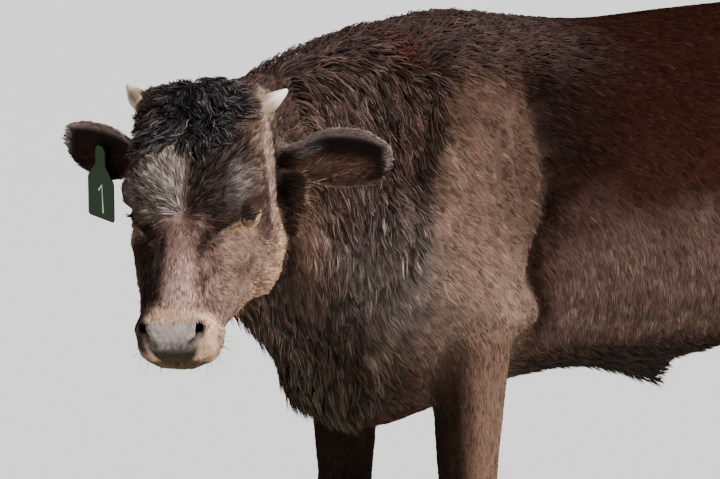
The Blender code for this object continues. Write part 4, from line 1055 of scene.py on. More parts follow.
# %% Muzzle, nose pad and lips
here["muzzle"] = here["head"] * rise(a, 0.340, 0.368) * (1 - 0.8 * rise(np.abs(l), 0.056, 0.063))
pad_top = 0.3720 + 0.0050 * np.exp(-((l / 0.015) ** 2))
pad = rise(a - pad_top, -0.0030, 0.0060)
pad_reach = np.interp(o, [-0.103, -0.096, -0.088, -0.079, -0.066, -0.055],
                      [0.020, 0.027, 0.033, 0.037, 0.041, 0.045])
pad *= (1 - rise(np.abs(l) - pad_reach, -0.0065, 0.0045)) * rise(o, -0.105, -0.099)
here["pad"] = here["head"] * pad
here["lip"] = here["head"] * rise(a, 0.37, 0.39) * (1 - rise(o, -0.101, -0.091))
here["lip"] *= 1 - 0.7 * rise(l, 0.040, 0.052)
# The far side of the muzzle is darkened as painted shadow.
here["far_lip_shadow"] = here["head"] * rise(-l, 0.030, 0.046) * rise(a, 0.335, 0.355)
here["far_lip_shadow"] *= rise(o, -0.118, -0.078)

# %% The shoulder's crease and the feet of the horns
# Painted shade in the crease behind the shoulder.
here["crease"] = here["trunk"] * np.exp(-(((past_edge - 0.010) / 0.014) ** 2))
here["crease"] *= rise(z, 0.61, 0.67) * (1 - rise(z, 1.00, 1.07))
here["horn_foot"] = sum(spot(skin_in_head, HORN_ROOT[s] + unit(HORN_RUN[s]) * 0.004, (0.026,) * 3)
                        for s in SIDE)
near_horn = sum(spot(skin_in_head, HORN_ROOT[s], (0.042,) * 3) for s in SIDE)
here["poll"] *= 1 - np.minimum(1.5 * near_horn, 1)

# %% [markdown]
# Inside its rim an ear is nearly bare above, with long soft hair below. The ear's own
# axes and its shares along and across tell where.

# %% Regions of the ears
here["ear_inside"] = np.zeros(len(skin_points))
here["ear_rim"] = np.zeros(len(skin_points))
ear_run = np.zeros((len(skin_points), 3))
ear_chart = np.zeros((len(skin_points), 2))
for side, sign in SIDE.items():
    root, run, opening, above = ear_axes(side)
    own = here["ear"] * (l * sign > 0)
    along, across = ear_places(skin_points, side)
    inside = rise(skin_normals @ opening, 0.05, 0.50) * own * rise(along, 0.13, 0.25)
    rim = np.maximum(rise(across, 0.50, 0.66), rise(-across, 0.84, 0.95))
    rim = np.maximum(rim, rise(along, 0.90, 0.97)) * own
    here["ear_tip"] = here.get("ear_tip", 0.0) + rim * rise(along, 0.72, 0.92)
    here["ear_inside"] += inside * (1 - rim)
    here["ear_rim"] += rim
    here[f"ear_low_{side}"] = inside * rise(-across, -0.10, 0.35) * rise(0.90 - along, 0, 0.30)
    grey = np.exp(-(((along - 0.28) / 0.09) ** 2) - ((across - 0.22) / 0.18) ** 2)
    here[f"ear_grey_{side}"] = inside * grey
    ear_run[own > 0] = run
    ear_chart[own > 0] = np.column_stack([across + 2.4 * (inside > 0.5), along])[own > 0]
tell(f"{len(here)} soft masks")

# %% [markdown]
# ## Which way the hair lies
#
# On the body and shoulder it runs back and down, on the neck and the lower flank mostly
# down, and on the belly straight back. On the face it fans out from a whorl between the
# eyes: up to the poll, down to the nose, and back over the cheeks. Each layer's direction
# is pressed flat on the skin, and the whole field is relaxed, so it turns smoothly like a
# combed coat.

# %% The lie of the coat
def layered(base, layers):
    """Lays each (mask, value) over the base as far as its mask says."""
    result = np.zeros((len(skin_points), len(np.atleast_1d(base)))) + base
    for mask, value in layers:
        share = np.clip(here[mask] if isinstance(mask, str) else mask, 0, 1)[:, None]
        result += (np.asarray(value) - result) * share
    return result


def in_world(vector):
    return np.asarray(vector, float) @ HEAD_AXES


from_whorl = unit(np.column_stack([a - WHORL[0], l - WHORL[1], np.zeros(len(a))]) + [1e-4, 0, 0])
from_parting = unit(np.column_stack([a + 0.015, 2.2 * l + 0.02, np.full(len(a), -0.01)]))
from_eye = sum(spot(skin_points, EYE[s], (0.03,) * 3)[:, None] * (skin_points - EYE[s])
               for s in EYE)
LIE = [
    ("lower_flank", (0.25, 0.0, -1.0)),
    ("neck", (0.40, 0.0, -1.0)),
    ("crest", (0.70, 0.0, 0.25)),
    ("throat", (0.25, 0.0, -1.0)),
    ("shoulder", (0.85, 0.0, -0.75)),
    ("brisket", (0.20, 0.0, -1.0)),
    ("belly", (1.0, 0.0, -0.1)),
    ("flank", (0.6, 0.0, -0.8)),
    ("thigh", (0.3, 0.0, -1.0)),
    ("leg", (0.08, 0.0, -1.0)),
    ("tail", (0.0, 0.0, -1.0)),
    ("head", in_world(from_whorl)),
    ("cheek", in_world((-0.35, 0.0, -1.0))),
    ("jaw", in_world((-0.60, 0.0, -0.8))),
    ("poll", in_world(from_parting)),
    ("eye", unit(from_eye)),
    ("ear", ear_run),
    ("ear_low_left", ear_run + 0.5 * ear_axes("left")[3] + 0.2 * ear_axes("left")[2]),
]


def pressed_flat(vectors, normals):
    return unit(vectors - (vectors * normals).sum(1, keepdims=True) * normals)


skin_lie = pressed_flat(layered((0.85, 0.0, -0.55), LIE), skin_normals)
skin_lie = pressed_flat(relaxed(skin_lie, skin_edges, 8), skin_normals)
tell("the lie of the coat")


# %% [markdown]
# A tuft that grows into a hollow would dive under the skin that rises ahead of it. So the
# bend of the skin is measured along the lie: how fast its normal turns towards the root.

# %% Where tufts would be buried
def hollowing(points, normals, lie, edges):
    """How fast the skin rises ahead of a tuft, in radians per metre; above 0 in a hollow."""
    turned_in, reach = np.zeros(len(points)), np.full(len(points), 1e-9)
    for start, end in (edges.T, edges.T[::-1]):
        ahead = ((points[end] - points[start]) * lie[start]).sum(1)
        turning = -((normals[end] - normals[start]) * lie[start]).sum(1)
        turned_in += np.bincount(start, turning * ahead, len(points))
        reach += np.bincount(start, ahead**2, len(points))
    return relaxed(turned_in / reach, edges, 3)


skin_hollow = np.maximum(hollowing(skin_points, skin_normals, skin_lie, skin_edges), 0)
deepest = float(np.percentile(skin_hollow, 99))
print("the deepest hollows turn", round(deepest, 1), "radians a metre")

# %% [markdown]
# ## How long, how thick, how loose
#
# Six measures in one table: a tuft's length and width in metres, the angle at which it
# leaves the skin, how far neighbours draw together to a point, how wide it curls, and how
# much one tuft differs from the next in tone. In a hollow a tuft is shorter and stands up
# more. The wet nose pad and the inside of the lids are bare.

# %% Measures of the tufts
STYLE = [
    # region: length, width, lift in radians, gathering, curl, contrast
    ("trunk", (0.019, 0.0020, 0.11, 0.42, 0.0, 0.75)),
    ("lower_flank", (0.022, 0.0019, 0.13, 0.50, 0.0, 1.15)),
    ("withers", (0.028, 0.0022, 0.26, 0.45, 0.0, 0.7)),
    ("shoulder", (0.017, 0.0017, 0.14, 0.42, 0.0, 1.15)),
    ("belly", (0.030, 0.0024, 0.35, 0.50, 0.0, 0.8)),
    ("thigh", (0.020, 0.0021, 0.11, 0.38, 0.0, 0.6)),
    ("neck", (0.044, 0.0023, 0.20, 0.66, 0.0016, 1.9)),
    ("crest", (0.036, 0.0024, 0.90, 0.50, 0.0015, 1.0)),
    ("throat", (0.038, 0.0024, 0.50, 0.60, 0.0, 1.3)),
    ("brisket", (0.046, 0.0026, 0.40, 0.65, 0.0018, 1.8)),
    ("near_jaw", (0.018, 0.0018, 0.12, 0.50, 0.0, 1.0)),
    ("leg", (0.015, 0.0019, 0.16, 0.32, 0.0, 0.7)),
    ("cannon", (0.011, 0.0017, 0.14, 0.30, 0.0, 0.8)),
    ("pastern", (0.024, 0.0021, 0.26, 0.50, 0.0, 0.8)),
    ("tail", (0.040, 0.0026, 0.08, 0.40, 0.0, 0.8)),
    ("switch", (0.130, 0.0045, 0.03, 0.50, 0.0016, 0.8)),
    ("head", (0.0135, 0.0016, 0.20, 0.38, 0.0, 1.6)),
    ("nose", (0.0095, 0.0014, 0.17, 0.32, 0.0, 1.4)),
    ("cheek", (0.0105, 0.0014, 0.16, 0.34, 0.0, 1.0)),
    ("jaw", (0.019, 0.0018, 0.28, 0.45, 0.0, 1.2)),
    ("forelock", (0.023, 0.0017, 0.26, 0.50, 0.0012, 1.8)),
    ("poll", (0.034, 0.0020, 0.42, 0.66, 0.0030, 2.3)),
    ("sheen_side", (0.017, 0.0015, 0.20, 0.42, 0.0, 1.8)),
    ("strip_edge", (0.012, 0.0016, 0.22, 0.35, 0.0, 1.2)),
    ("muzzle", (0.0070, 0.0011, 0.18, 0.35, 0.0, 1.5)),
    ("lids", (0.0042, 0.0009, 0.10, 0.10, 0.0, 0.35)),
    ("ear", (0.011, 0.0017, 0.16, 0.35, 0.0, 0.8)),
    ("ear_rim", (0.009, 0.0015, 0.40, 0.30, 0.0, 0.8)),
    ("ear_inside", (0.008, 0.0014, 0.20, 0.30, 0.0, 0.6)),
    ("ear_low_left", (0.018, 0.0014, 0.30, 0.50, 0.0010, 1.3)),
    ("ear_grey_left", (0.020, 0.0013, 0.50, 0.50, 0.0010, 1.6)),
    ("ear_low_right", (0.016, 0.0016, 0.26, 0.45, 0.0, 1.0)),
    ("horn_foot", (0.010, 0.0016, 0.30, 0.40, 0.0, 0.8)),
    ("sheath", (0.055, 0.0026, 0.30, 0.70, 0.0, 0.8)),
]
BASE_STYLE = (0.020, 0.0030, 0.22, 0.40, 0.0, 1.0)
skin_style = layered(BASE_STYLE, STYLE)
turn_ahead = skin_hollow * skin_style[:, 0]
skin_style[:, 0] /= 1 + np.clip(0.7 * turn_ahead, 0, 1.2)
skin_style[:, 2] += np.clip(0.75 * turn_ahead, 0, 0.8)
far_from_eye = [np.linalg.norm(skin_points - EYE[side], axis=1) for side in EYE]
in_gap = np.minimum(*far_from_eye) < EYE_RADIUS + 0.0010
skin_bare = np.maximum(here["pad"], in_gap * 1.0)
skin_bare = np.maximum(skin_bare, 0.75 * here["lids"])
skin_bare = np.maximum(skin_bare, 1 - rise(nostril_gap, 0.0042, 0.0060))
print("tufts measure", skin_style[:, 0].min().round(4), "to", skin_style[:, 0].max().round(4), "m")

# %% [markdown]
# ## Colour
#
# A dark brown coat, sun-bleached to tan on the cheeks, shoulder and forearms, nearly
# black on the poll and tail, with a pale strip down the temple, partly a painted highlight,
# and a mealy ring round the nose. Some rows are painted light and shade: shade in creases,
# folds and hollows, behind the shoulder, under the ear, inside the right ear, on the legs'
# fronts and inner sides, on the far side of the nose and muzzle and on one half of the
# forehead, with a painted sheen on the other half and over the brow. Shades are given as a
# paint chart would give them, and turned into light. Later rows lie over earlier ones. The
# nose pad, pale above with a painted highlight and dark below with a painted reflection,
# and freckled, and the nostrils, darkened with painted shade, are painted last.

# %% The markings
def shade(red, green, blue):
    """A shade of a paint chart, 0 to 255, as light."""
    chart = np.array([red, green, blue]) / 255
    return np.where(chart < 0.04045, chart / 12.92, ((chart + 0.055) / 1.055) ** 2.4)


MARKINGS = [
    ("hindquarters", shade(40, 22, 17)),
    ("trunk", shade(43, 23, 17)),
    ("back_red", shade(35, 17, 12)),
    # darker behind the shoulder: partly own colour, partly painted shadow
    ("behind_blade", shade(26, 15, 12)),
    ("flank_low", shade(92, 72, 64)),
    ("belly", shade(42, 36, 31)),
    ("shoulder", shade(105, 82, 70)),
    ("shoulder_low", shade(136, 111, 96)),
    # painted shade in the folds over the shoulder
    ("shaded_blade_folds", shade(84, 65, 55)),
    ("shoulder_rear", shade(76, 58, 49)),
    # painted shade in the crease behind the shoulder
    ("crease", shade(24, 14, 11)),
    ("neck", shade(60, 46, 40)),
    ("crest", shade(62, 48, 44)),
    ("orange", shade(58, 27, 17)),
    ("rust", shade(152, 118, 102)),
    ("pale_locks", shade(118, 104, 96)),
    ("tan_patches", shade(112, 90, 74)),
    ("throat", shade(58, 48, 42)),
    ("neck_dark", shade(34, 23, 19)),
    ("pale_neck", shade(116, 102, 94)),
    ("brisket", shade(50, 43, 34)),
    ("thigh", shade(32, 15, 11)),
    ("leg", shade(106, 82, 68)),
    # painted shade on the fronts of the legs
    ("shaded_leg_front", shade(44, 31, 25)),
    ("hind_leg", shade(62, 44, 36)),
    ("stifle", shade(30, 14, 10)),
    # painted shade on the inner sides of the legs
    ("shaded_leg_inside", shade(34, 26, 22)),
    ("shin", shade(46, 32, 26)),
    ("foot", shade(30, 23, 20)),
    ("tail", shade(24, 18, 15)),
    ("head", shade(58, 43, 38)),
    ("nose", shade(126, 98, 88)),
    ("nose_low", shade(172, 138, 126)),
    ("cheek", shade(128, 104, 91)),
    ("jaw", shade(162, 128, 104)),
    ("past_jaw", shade(56, 42, 36)),
    # painted sheen and painted shade on the two halves of the forehead
    ("sheen_side", shade(146, 130, 120)),
    ("shaded_side", shade(38, 30, 27)),
    ("tear_dark", shade(50, 35, 30)),
    # painted shade on the far side of the nose
    ("nose_far_shadow", shade(42, 32, 29)),
    # painted shade in the hollows
    ("hollow", shade(92, 70, 60)),
    ("brow", shade(46, 35, 31)),
    ("sheen", shade(112, 100, 96)),
    ("poll", shade(41, 38, 39)),
    ("band", shade(88, 68, 57)),
    # the temple strip: partly a painted highlight on the ridge
    ("strip_edge", shade(104, 82, 70)),
    ("strip", shade(140, 117, 103)),
    # painted shadow under the ear and behind the jaw
    ("under_ear", shade(13, 9, 8)),
    ("horn_foot", shade(132, 113, 98)),
    ("muzzle", shade(208, 168, 140)),
    ("lip", shade(80, 66, 50)),
    # painted shadow on the far side of the muzzle
    ("far_lip_shadow", shade(46, 40, 38)),
    ("eye", shade(66, 50, 42)),
    ("upper_lid", shade(32, 23, 19)),
    ("lower_lid", shade(150, 118, 94)),
    # painted shade in the lid's creases
    ("lid_crease", shade(48, 31, 24)),
    # pale lid rim, partly a painted highlight
    ("lid_edge", shade(176, 146, 116)),
    ("ear", shade(36, 25, 21)),
    ("ear_inside", shade(32, 25, 22)),
    ("ear_low_left", shade(112, 84, 71)),
    # painted shade inside the lower right ear
    ("ear_low_right", shade(46, 29, 22)),
    ("ear_grey_left", shade(124, 116, 110)),
    ("ear_rim", shade(118, 101, 95)),
    ("ear_tip", shade(156, 136, 128)),
]
skin_colour = layered(shade(70, 52, 44), MARKINGS)
skin_colour = relaxed(skin_colour, skin_edges, 2)
tell(f"{len(MARKINGS)} markings")

# %% Nose pad, nostrils and lid gap
# The pad's pale top is a painted highlight and its dark olive bottom a painted reflection; the
# freckles are its own.
PAD_TOP_HIGHLIGHT = shade(202, 186, 177)
PAD_LOW_REFLECTION = shade(44, 40, 26)
freckle = np.sin(310 * l + 3 * np.sin(170 * a)) * np.sin(290 * o + 2 * np.sin(240 * l))
freckle *= np.sin(460 * a)
low_on_pad = 1 - rise(o + 0.004 * freckle, -0.085, -0.050)
wet = PAD_TOP_HIGHLIGHT + (PAD_LOW_REFLECTION - PAD_TOP_HIGHLIGHT) * low_on_pad[:, None]
# darker towards the far side of the pad: painted shade
wet = wet * (1 + 0.16 * freckle - 0.75 * rise(-l, 0.016, 0.036))[:, None]
skin_colour += (wet - skin_colour) * here["pad"][:, None]
# painted shade round each nostril, and near-black painted shade inside it
nostril_rim_shadow = 0.6 * (1 - rise(nostril_gap, 0.0050, 0.0120))
skin_colour += (shade(84, 72, 68) - skin_colour) * nostril_rim_shadow[:, None]
inner = 1 - rise(nostril_gap, 0.0048, 0.0070)
skin_colour += (shade(14, 10, 9) - skin_colour) * inner[:, None]
skin_colour = np.where(in_gap[:, None], shade(30, 20, 18), skin_colour)
print(f"nose pad over {int((here['pad'] > 0.5).sum())} corners")

# %% [markdown]
# ## Planting and growing the tufts
#
# Roots are scattered at random over the skin, as thick as its area asks, and thinned to
# one in each small cube of space, so they neither crowd nor leave gaps. Each root reads
# the fields off the skin under it.

# %% Reading the fields
FIELDS = np.hstack([skin_normals, skin_lie, skin_style, skin_colour, skin_bare[:, None],
                    ear_chart])
COLUMNS = {"normal": slice(0, 3), "lie": slice(3, 6), "length": 6, "width": 7, "lift": 8,
           "gather": 9, "curl": 10, "contrast": 11, "colour": slice(12, 15), "bare": 15,
           "ear_chart": slice(16, 18)}


def read_fields(corners, shares):
    """The fields at places inside faces, given their corners and each corner's share."""
    mixed = (FIELDS[corners] * shares[:, :, None]).sum(1)
    roots = {name: mixed[:, column] for name, column in COLUMNS.items()}
    roots["point"] = (skin_points[corners] * shares[:, :, None]).sum(1)
    roots["normal"] = unit(roots["normal"])
    roots["lie"] = pressed_flat(roots["lie"], roots["normal"])
    return roots


def chosen_rows(roots, wanted):
    return {name: values[wanted] for name, values in roots.items()}


def cell_keys(places):
    """One whole number for each unit cube of space, told from its three."""
    cell = np.floor(places).astype(np.int64) + 100000
    return (cell[:, 0] << 40) + (cell[:, 1] << 20) + cell[:, 2]


print(f"{FIELDS.shape[1]} fields at {len(FIELDS)} corners")


# %% Scattering the roots
TRIES_PER_CELL = 2.6
BARE_FROM = 0.4


def scattered(chosen, spacing, rng):
    """Roots on the chosen faces, about one in each cube of side spacing."""
    faces = skin_faces[chosen]
    area = np.linalg.norm(face_normals(skin_points, faces), axis=1) / 2
    count = int(TRIES_PER_CELL * area.sum() / spacing**2)
    corners = faces[rng.choice(len(faces), count, p=area / area.sum())]
    u, v = rng.random((2, count))
    over = u + v > 1
    u, v = np.where(over, 1 - u, u), np.where(over, 1 - v, v)
    roots = read_fields(corners, np.column_stack([1 - u - v, u, v]))
    _, first = np.unique(cell_keys(roots["point"] / spacing), return_index=True)
    first = first[roots["bare"][first] < BARE_FROM]
    return chosen_rows(roots, first)


# %% [markdown]
# A tuft is a thin closed blade: a root under the skin, a few three-cornered rings, and a
# tip. Short hair needs one ring, hanging hair two, and curls four. Tips of neighbours are
# drawn to the tip of one tuft among them, which parts the coat into locks.

# %% Locks
def turned(vectors, axes, angles):
    """Vectors turned about unit axes at right angles to them."""
    return (vectors * np.cos(angles)[:, None] + np.cross(axes, vectors) * np.sin(angles)[:, None])


def locks_of(points, spacing, rng):
    """Which lock each tuft belongs to, and the tuft in each lock's middle."""
    _, middles = np.unique(cell_keys(points / spacing + rng.random(3)), return_index=True)
    tree = KDTree(len(middles))
    for number, point in enumerate(points[middles].tolist()):
        tree.insert(point, number)
    tree.balance()
    return middles, np.array([tree.find(point)[1] for point in points.tolist()])


# %% [markdown]
# The middle line leaves the root along the lie, lifted off the skin by the tuft's own
# angle. Long hair droops, curly hair winds round the line, and each tip is drawn some way
# to the tip of its lock's middle tuft.

# %% The middle line of a tuft
RING_PLACES = {1: (0.36,), 2: (0.24, 0.62), 4: (0.14, 0.38, 0.62, 0.84)}  # shares of length


def tuft_lines(roots, rings, lock_spacing, rng):
    """The middle line of each tuft, the lock it is in, and how thick it is."""
    count = len(roots["point"])
    middles, lock = locks_of(roots["point"], lock_spacing, rng)
    luck = rng.random((len(middles), 4))[lock]
    length = roots["length"] * (0.72 + 0.5 * rng.random(count)) * (0.85 + 0.3 * luck[:, 0])
    loose = 0.10 + 0.5 * rise(roots["curl"], 0.0, 0.004)
    swirl = (luck[:, 1] - 0.5) * 2.6 * loose + rng.normal(0, 1, count) * loose * 0.8
    way = turned(roots["lie"], roots["normal"], swirl)
    lift = roots["lift"] * (0.55 + 0.9 * rng.random(count))
    side = np.cross(roots["normal"], way)
    droop = 0.9 * rise(length, 0.020, 0.060)
    phase = 2 * math.pi * luck[:, 2] + rng.normal(0, 0.5, count)
    stops = (0.0,) + RING_PLACES[rings] + (1.0,)
    line = [roots["point"] - roots["normal"] * 0.0006]
    for start, end in zip(stops, stops[1:]):
        middle = (start + end) / 2
        bend = lift * (1 - 1.3 * middle)
        step = way * np.cos(bend)[:, None] + roots["normal"] * np.sin(bend)[:, None]
        step[:, 2] -= droop * middle
        line.append(line[-1] + unit(step) * (length * (end - start))[:, None])
    for number, place in enumerate(stops[1:], 1):
        turn = phase + 6.5 * place
        wide = roots["curl"] * place**0.6
        line[number] = line[number] + side * (wide * np.cos(turn))[:, None]
        line[number] += roots["normal"] * (wide * (0.6 + np.sin(turn)) * 0.8)[:, None]
    drawn = (line[-1][middles][lock] - line[-1]) * roots["gather"][:, None]
    drawn *= np.minimum(1, 0.7 * length / np.maximum(np.linalg.norm(drawn, axis=1), 1e-6))[:, None]
    for number, place in enumerate(stops[1:], 1):
        line[number] = line[number] + drawn * place**1.5
    return np.stack(line, 1), luck[:, 3], roots["width"] * (0.75 + 0.5 * rng.random(count))


# %% [markdown]
# The blade round that line is three-cornered, like a grass leaf with a raised rib. Its
# normals lean towards the skin's own, so that thousands of blades shade as one soft coat.

# %% The blade
RING_WIDTHS = {1: (1.0,), 2: (1.0, 0.80), 4: (0.9, 1.0, 0.85, 0.55)}  # shares of the width
BLADE_HEIGHT = 0.42
SOFTNESS = 0.60


def blade_faces(rings):
    """The triangles of one blade; corners are root, then three per ring, then the tip."""
    tip = 3 * rings + 1
    faces = [(0, 1, 3), (0, 3, 2), (0, 2, 1)]
    for ring in range(rings - 1):
        left, right, top = (3 * ring + k for k in (1, 2, 3))
        faces += [(left, left + 3, top), (left + 3, top + 3, top)]
        faces += [(right, top, right + 3), (right + 3, top, top + 3)]
        faces += [(left, right, left + 3), (right, right + 3, left + 3)]
    left, right, top = tip - 3, tip - 2, tip - 1
    return np.array(faces + [(tip, top, left), (tip, right, top), (tip, left, right)])


def blades(roots, line, width, rng):
    """Corners of every blade and their normals; both are tufts x corners x 3."""
    count, rings = len(line), line.shape[1] - 2
    corners = np.empty((count, 3 * rings + 2, 3))
    normals = np.empty_like(corners)
    corners[:, 0], corners[:, -1] = line[:, 0], line[:, -1]
    normals[:, 0] = roots["normal"]
    normals[:, -1] = unit(roots["normal"] + 0.4 * unit(line[:, -1] - line[:, -2]))
    roll = rng.normal(0, 0.35, count)
    for ring in range(rings):
        way = unit(line[:, ring + 2] - line[:, ring])
        side = unit(np.cross(roots["normal"], way) + 1e-9)
        side = turned(side, way, roll)
        top = np.cross(way, side)
        half = (width * RING_WIDTHS[rings][ring] / 2)[:, None]
        middle, first = line[:, ring + 1], 1 + 3 * ring
        corners[:, first] = middle - side * half
        corners[:, first + 1] = middle + side * half
        corners[:, first + 2] = middle + top * half * 2 * BLADE_HEIGHT
        normals[:, first] = unit(top - 1.3 * side)
        normals[:, first + 1] = unit(top + 1.3 * side)
        normals[:, first + 2] = top
    normals = unit(normals * (1 - SOFTNESS) + roots["normal"][:, None] * SOFTNESS)
    return corners, normals


# %% [markdown]
# Each blade is darker at its root, a painted shade deep in the coat, and paler at its tip.
# Where the coat is contrasty, about one blade in seven fades further towards a pale grey, a
# painted sheen. Every lock and tuft has its own tone. A small patch of the skin's chart,
# three thousandths wide, belongs to each blade.

# %% Colours and the chart
PATCH = 0.003
SHEEN_TIP = shade(150, 138, 130)
ROOT_SHADOW = 0.62
TIP_GAIN = 0.50


def blade_colours(roots, luck, rings, rng):
    count, contrast = len(luck), roots["contrast"]
    tone = np.exp(contrast * (0.34 * (2 * luck - 1) + 0.28 * rng.normal(0, 1, count)))
    along = np.concatenate([[0.0], np.repeat(RING_PLACES[rings], 3), [1.0]])
    # darker at the root: painted shade deep in the coat
    depth = ROOT_SHADOW + TIP_GAIN * along
    # about one tuft in seven, where contrast is above a half, fades to a pale grey tip: a painted
    # sheen
    pale = np.minimum(0.58 * (rng.random(count) > 0.86) * np.maximum(contrast - 0.5, 0), 1)
    colour = roots["colour"][:, None] * (tone[:, None] * depth)[:, :, None]
    share = (pale[:, None] * along**1.5)[:, :, None]
    return np.clip(colour + (SHEEN_TIP - colour) * share * 0.5, 0, 1)


def blade_patches(chart, rings):
    """Chart places of every blade's corners, spread over its own little patch."""
    low, high = chart.min(0), chart.max(0)
    chart = 0.01 + 0.98 * (chart - low) / (high - low)
    across = np.concatenate([[0.0], np.tile([-0.5, 0.5, 0.0], rings), [0.0]]) * PATCH
    places = [[k - 0.3, k - 0.3, k + 0.3] for k in range(1, rings + 1)]
    up_chart = np.concatenate([[0.0], *places, [rings + 1.0]])
    up_chart = up_chart / (rings + 1) * PATCH - PATCH / 2
    return chart[:, None] + np.stack([across, up_chart], 1)


# %% [markdown]
# A piece of coat is one mesh of many blades. Its colours are stored at its corners, as an
# attribute that the material reads.

# %% Growing a piece
def coated(name, roots, rings, lock_spacing, chart, seed):
    """Grows one piece of the coat on the given roots."""
    rng = np.random.default_rng(seed)
    line, luck, width = tuft_lines(roots, rings, lock_spacing, rng)
    corners, normals = blades(roots, line, width, rng)
    count, each = corners.shape[:2]
    faces = (blade_faces(rings)[None] + np.arange(count)[:, None, None] * each).reshape(-1, 3)
    piece = mesh_object(name, corners.reshape(-1, 3), faces)
    paint(piece, blade_colours(roots, luck, rings, rng).reshape(-1, 3))
    patches = blade_patches(chart, rings).reshape(-1, 2)
    piece.data.uv_layers.new(name="OFBake").data.foreach_set(
        "uv", patches[faces.ravel()].astype(np.float32).ravel())
    piece.data.normals_split_custom_set_from_vertices(normals.reshape(-1, 3))
    print(f"{name}: {count} tufts, {len(faces)} triangles")
    return piece


def paint(piece, colours, name="colour"):
    """Stores a colour at every corner, where the material finds it by name."""
    layer = piece.data.color_attributes.new(name, "FLOAT_COLOR", "POINT")
    values = np.column_stack([colours, np.ones(len(colours))])
    layer.data.foreach_set("color", values.astype(np.float32).ravel())


# %% [markdown]
# The coat is made in pieces, each with a chart of its own: the angle round the part's
# axis against the place along it, as if the skin were unrolled from that part.

# %% Where each piece grows
face_label = skin_labels[skin_faces[:, 0]]
face_point = skin_points[skin_faces].mean(1)
face_in_head = to_head(face_point)
face_poll = here["poll"][skin_faces].mean(1) > 0.5


def on_part(*words):
    return labelled(face_label, *words) > 0


def round_axis(across, upward):
    """The angle round an axis, as a share of a turn."""
    return np.arctan2(across, upward) / (2 * math.pi)


def chart_of(kind, roots):
    point, head = roots["point"], to_head(roots["point"])
    if kind == "head":
        return np.column_stack([round_axis(head[:, 1], head[:, 2] + 0.09), head[:, 0]])
    if kind == "neck":
        return np.column_stack([round_axis(point[:, 1] + 0.02, point[:, 2] - 0.84), point[:, 0]])
    if kind == "trunk":
        return np.column_stack([round_axis(point[:, 1], point[:, 2] - 0.85), point[:, 0]])
    if kind == "legs":
        on_right = point[:, 1] > 0
        middle = np.where(on_right, point[on_right, 1].mean(), point[~on_right, 1].mean())
        front = point[:, 0] - point[:, 0].mean()
        turn = round_axis(point[:, 1] - middle, front)
        return np.column_stack([on_right * 1.1 + turn, point[:, 2]])
    if kind == "ears":
        column = (head[:, 1] > 0) * 6.0
        return np.column_stack([column + roots["ear_chart"][:, 0], roots["ear_chart"][:, 1]])
    return np.column_stack([round_axis(point[:, 1], point[:, 0] - point[:, 0].mean()), point[:, 2]])


right = face_point[:, 1] > 0
front = face_point[:, 0] < 0.19
head_left = face_in_head[:, 1] > 0
head_hair = on_part("head") & ~face_poll
neck_left = face_point[:, 1] < -0.02
COAT = [
    # name, faces, spacing, rings, lock spacing, chart
    ("coat_trunk_left_front", on_part("trunk") & ~right & front, 0.0040, 1, 0.016, "trunk"),
    ("coat_trunk_right_front", on_part("trunk") & right & front, 0.0046, 1, 0.016, "trunk"),
    ("coat_trunk_left_rear", on_part("trunk") & ~right & ~front, 0.0047, 1, 0.018, "trunk"),
    ("coat_trunk_right_rear", on_part("trunk") & right & ~front, 0.0048, 1, 0.018, "trunk"),
    ("coat_neck_left", on_part("neck") & neck_left, 0.0030, 2, 0.014, "neck"),
    ("coat_neck_right", on_part("neck") & ~neck_left, 0.0052, 2, 0.014, "neck"),
    ("coat_poll", on_part("head") & face_poll, 0.0029, 4, 0.016, "head"),
    ("coat_head_left", head_hair & head_left, 0.0022, 1, 0.008, "head"),
    ("coat_head_right", head_hair & ~head_left, 0.0025, 1, 0.008, "head"),
    ("coat_ears", on_part("ear"), 0.0034, 2, 0.007, "ears"),
    ("coat_forelegs", on_part("foreleg"), 0.0048, 1, 0.012, "legs"),
    ("coat_hindlegs", on_part("hindleg"), 0.0052, 1, 0.012, "legs"),
    ("coat_tail", on_part("tail"), 0.0055, 2, 0.012, "tail"),
]
ROOT_SEED = 20
BLADE_SEED = 100
coat = []
for number, (name, chosen, spacing, rings, lock, kind) in enumerate(COAT):
    roots = scattered(chosen, spacing, np.random.default_rng(ROOT_SEED + number))
    coat.append(coated(name, roots, rings, lock, chart_of(kind, roots), BLADE_SEED + number))
tell(f"{len(coat)} pieces of coat, {sum(len(c.data.polygons) for c in coat)} triangles")

# %% [markdown]
# ## Lashes, whiskers and feelers
#
# Single long hairs use the same blades, planted at chosen corners of the skin: lashes
# along the upper lids, and whiskers on the lips and chin.

# %% Lashes and whiskers
def roots_at(corner_numbers):
    corners = np.repeat(corner_numbers[:, None], 3, axis=1)
    shares = np.tile([1.0, 0.0, 0.0], (len(corners), 1))
    return read_fields(corners, shares)


LASH_LENGTH = {"left": 0.013, "right": 0.009}
LASH_FAN = 40.0  # how fast the lashes spread, per metre along the lid


def lash_roots(side, count, rng):
    look, run, brow = eye_frame(side)
    local = skin_points - EYE[side]
    above = local @ brow
    along = local @ run
    gap = LID_GAP[side] * (1 - np.clip(along / LID_LENGTH, -1, 1) ** 2) ** 0.8
    edge = above + 0.0012 - gap
    near = (np.linalg.norm(local, axis=1) < EYE_RADIUS + 0.006) & (local @ look > 0)
    near &= (edge > 0.0006) & (edge < 0.0024) & (np.abs(along) < 0.0150)
    roots = roots_at(rng.choice(np.flatnonzero(near), count))
    fan = (roots["point"] - EYE[side]) @ run
    way = look + 0.35 * brow + run * (fan * LASH_FAN)[:, None]
    roots["lie"] = unit(way - 0.25 * roots["normal"])
    roots["colour"][:] = shade(30, 24, 22)
    roots["length"][:] = LASH_LENGTH[side]
    roots["width"][:], roots["lift"][:] = 0.0009, 0.15
    return roots


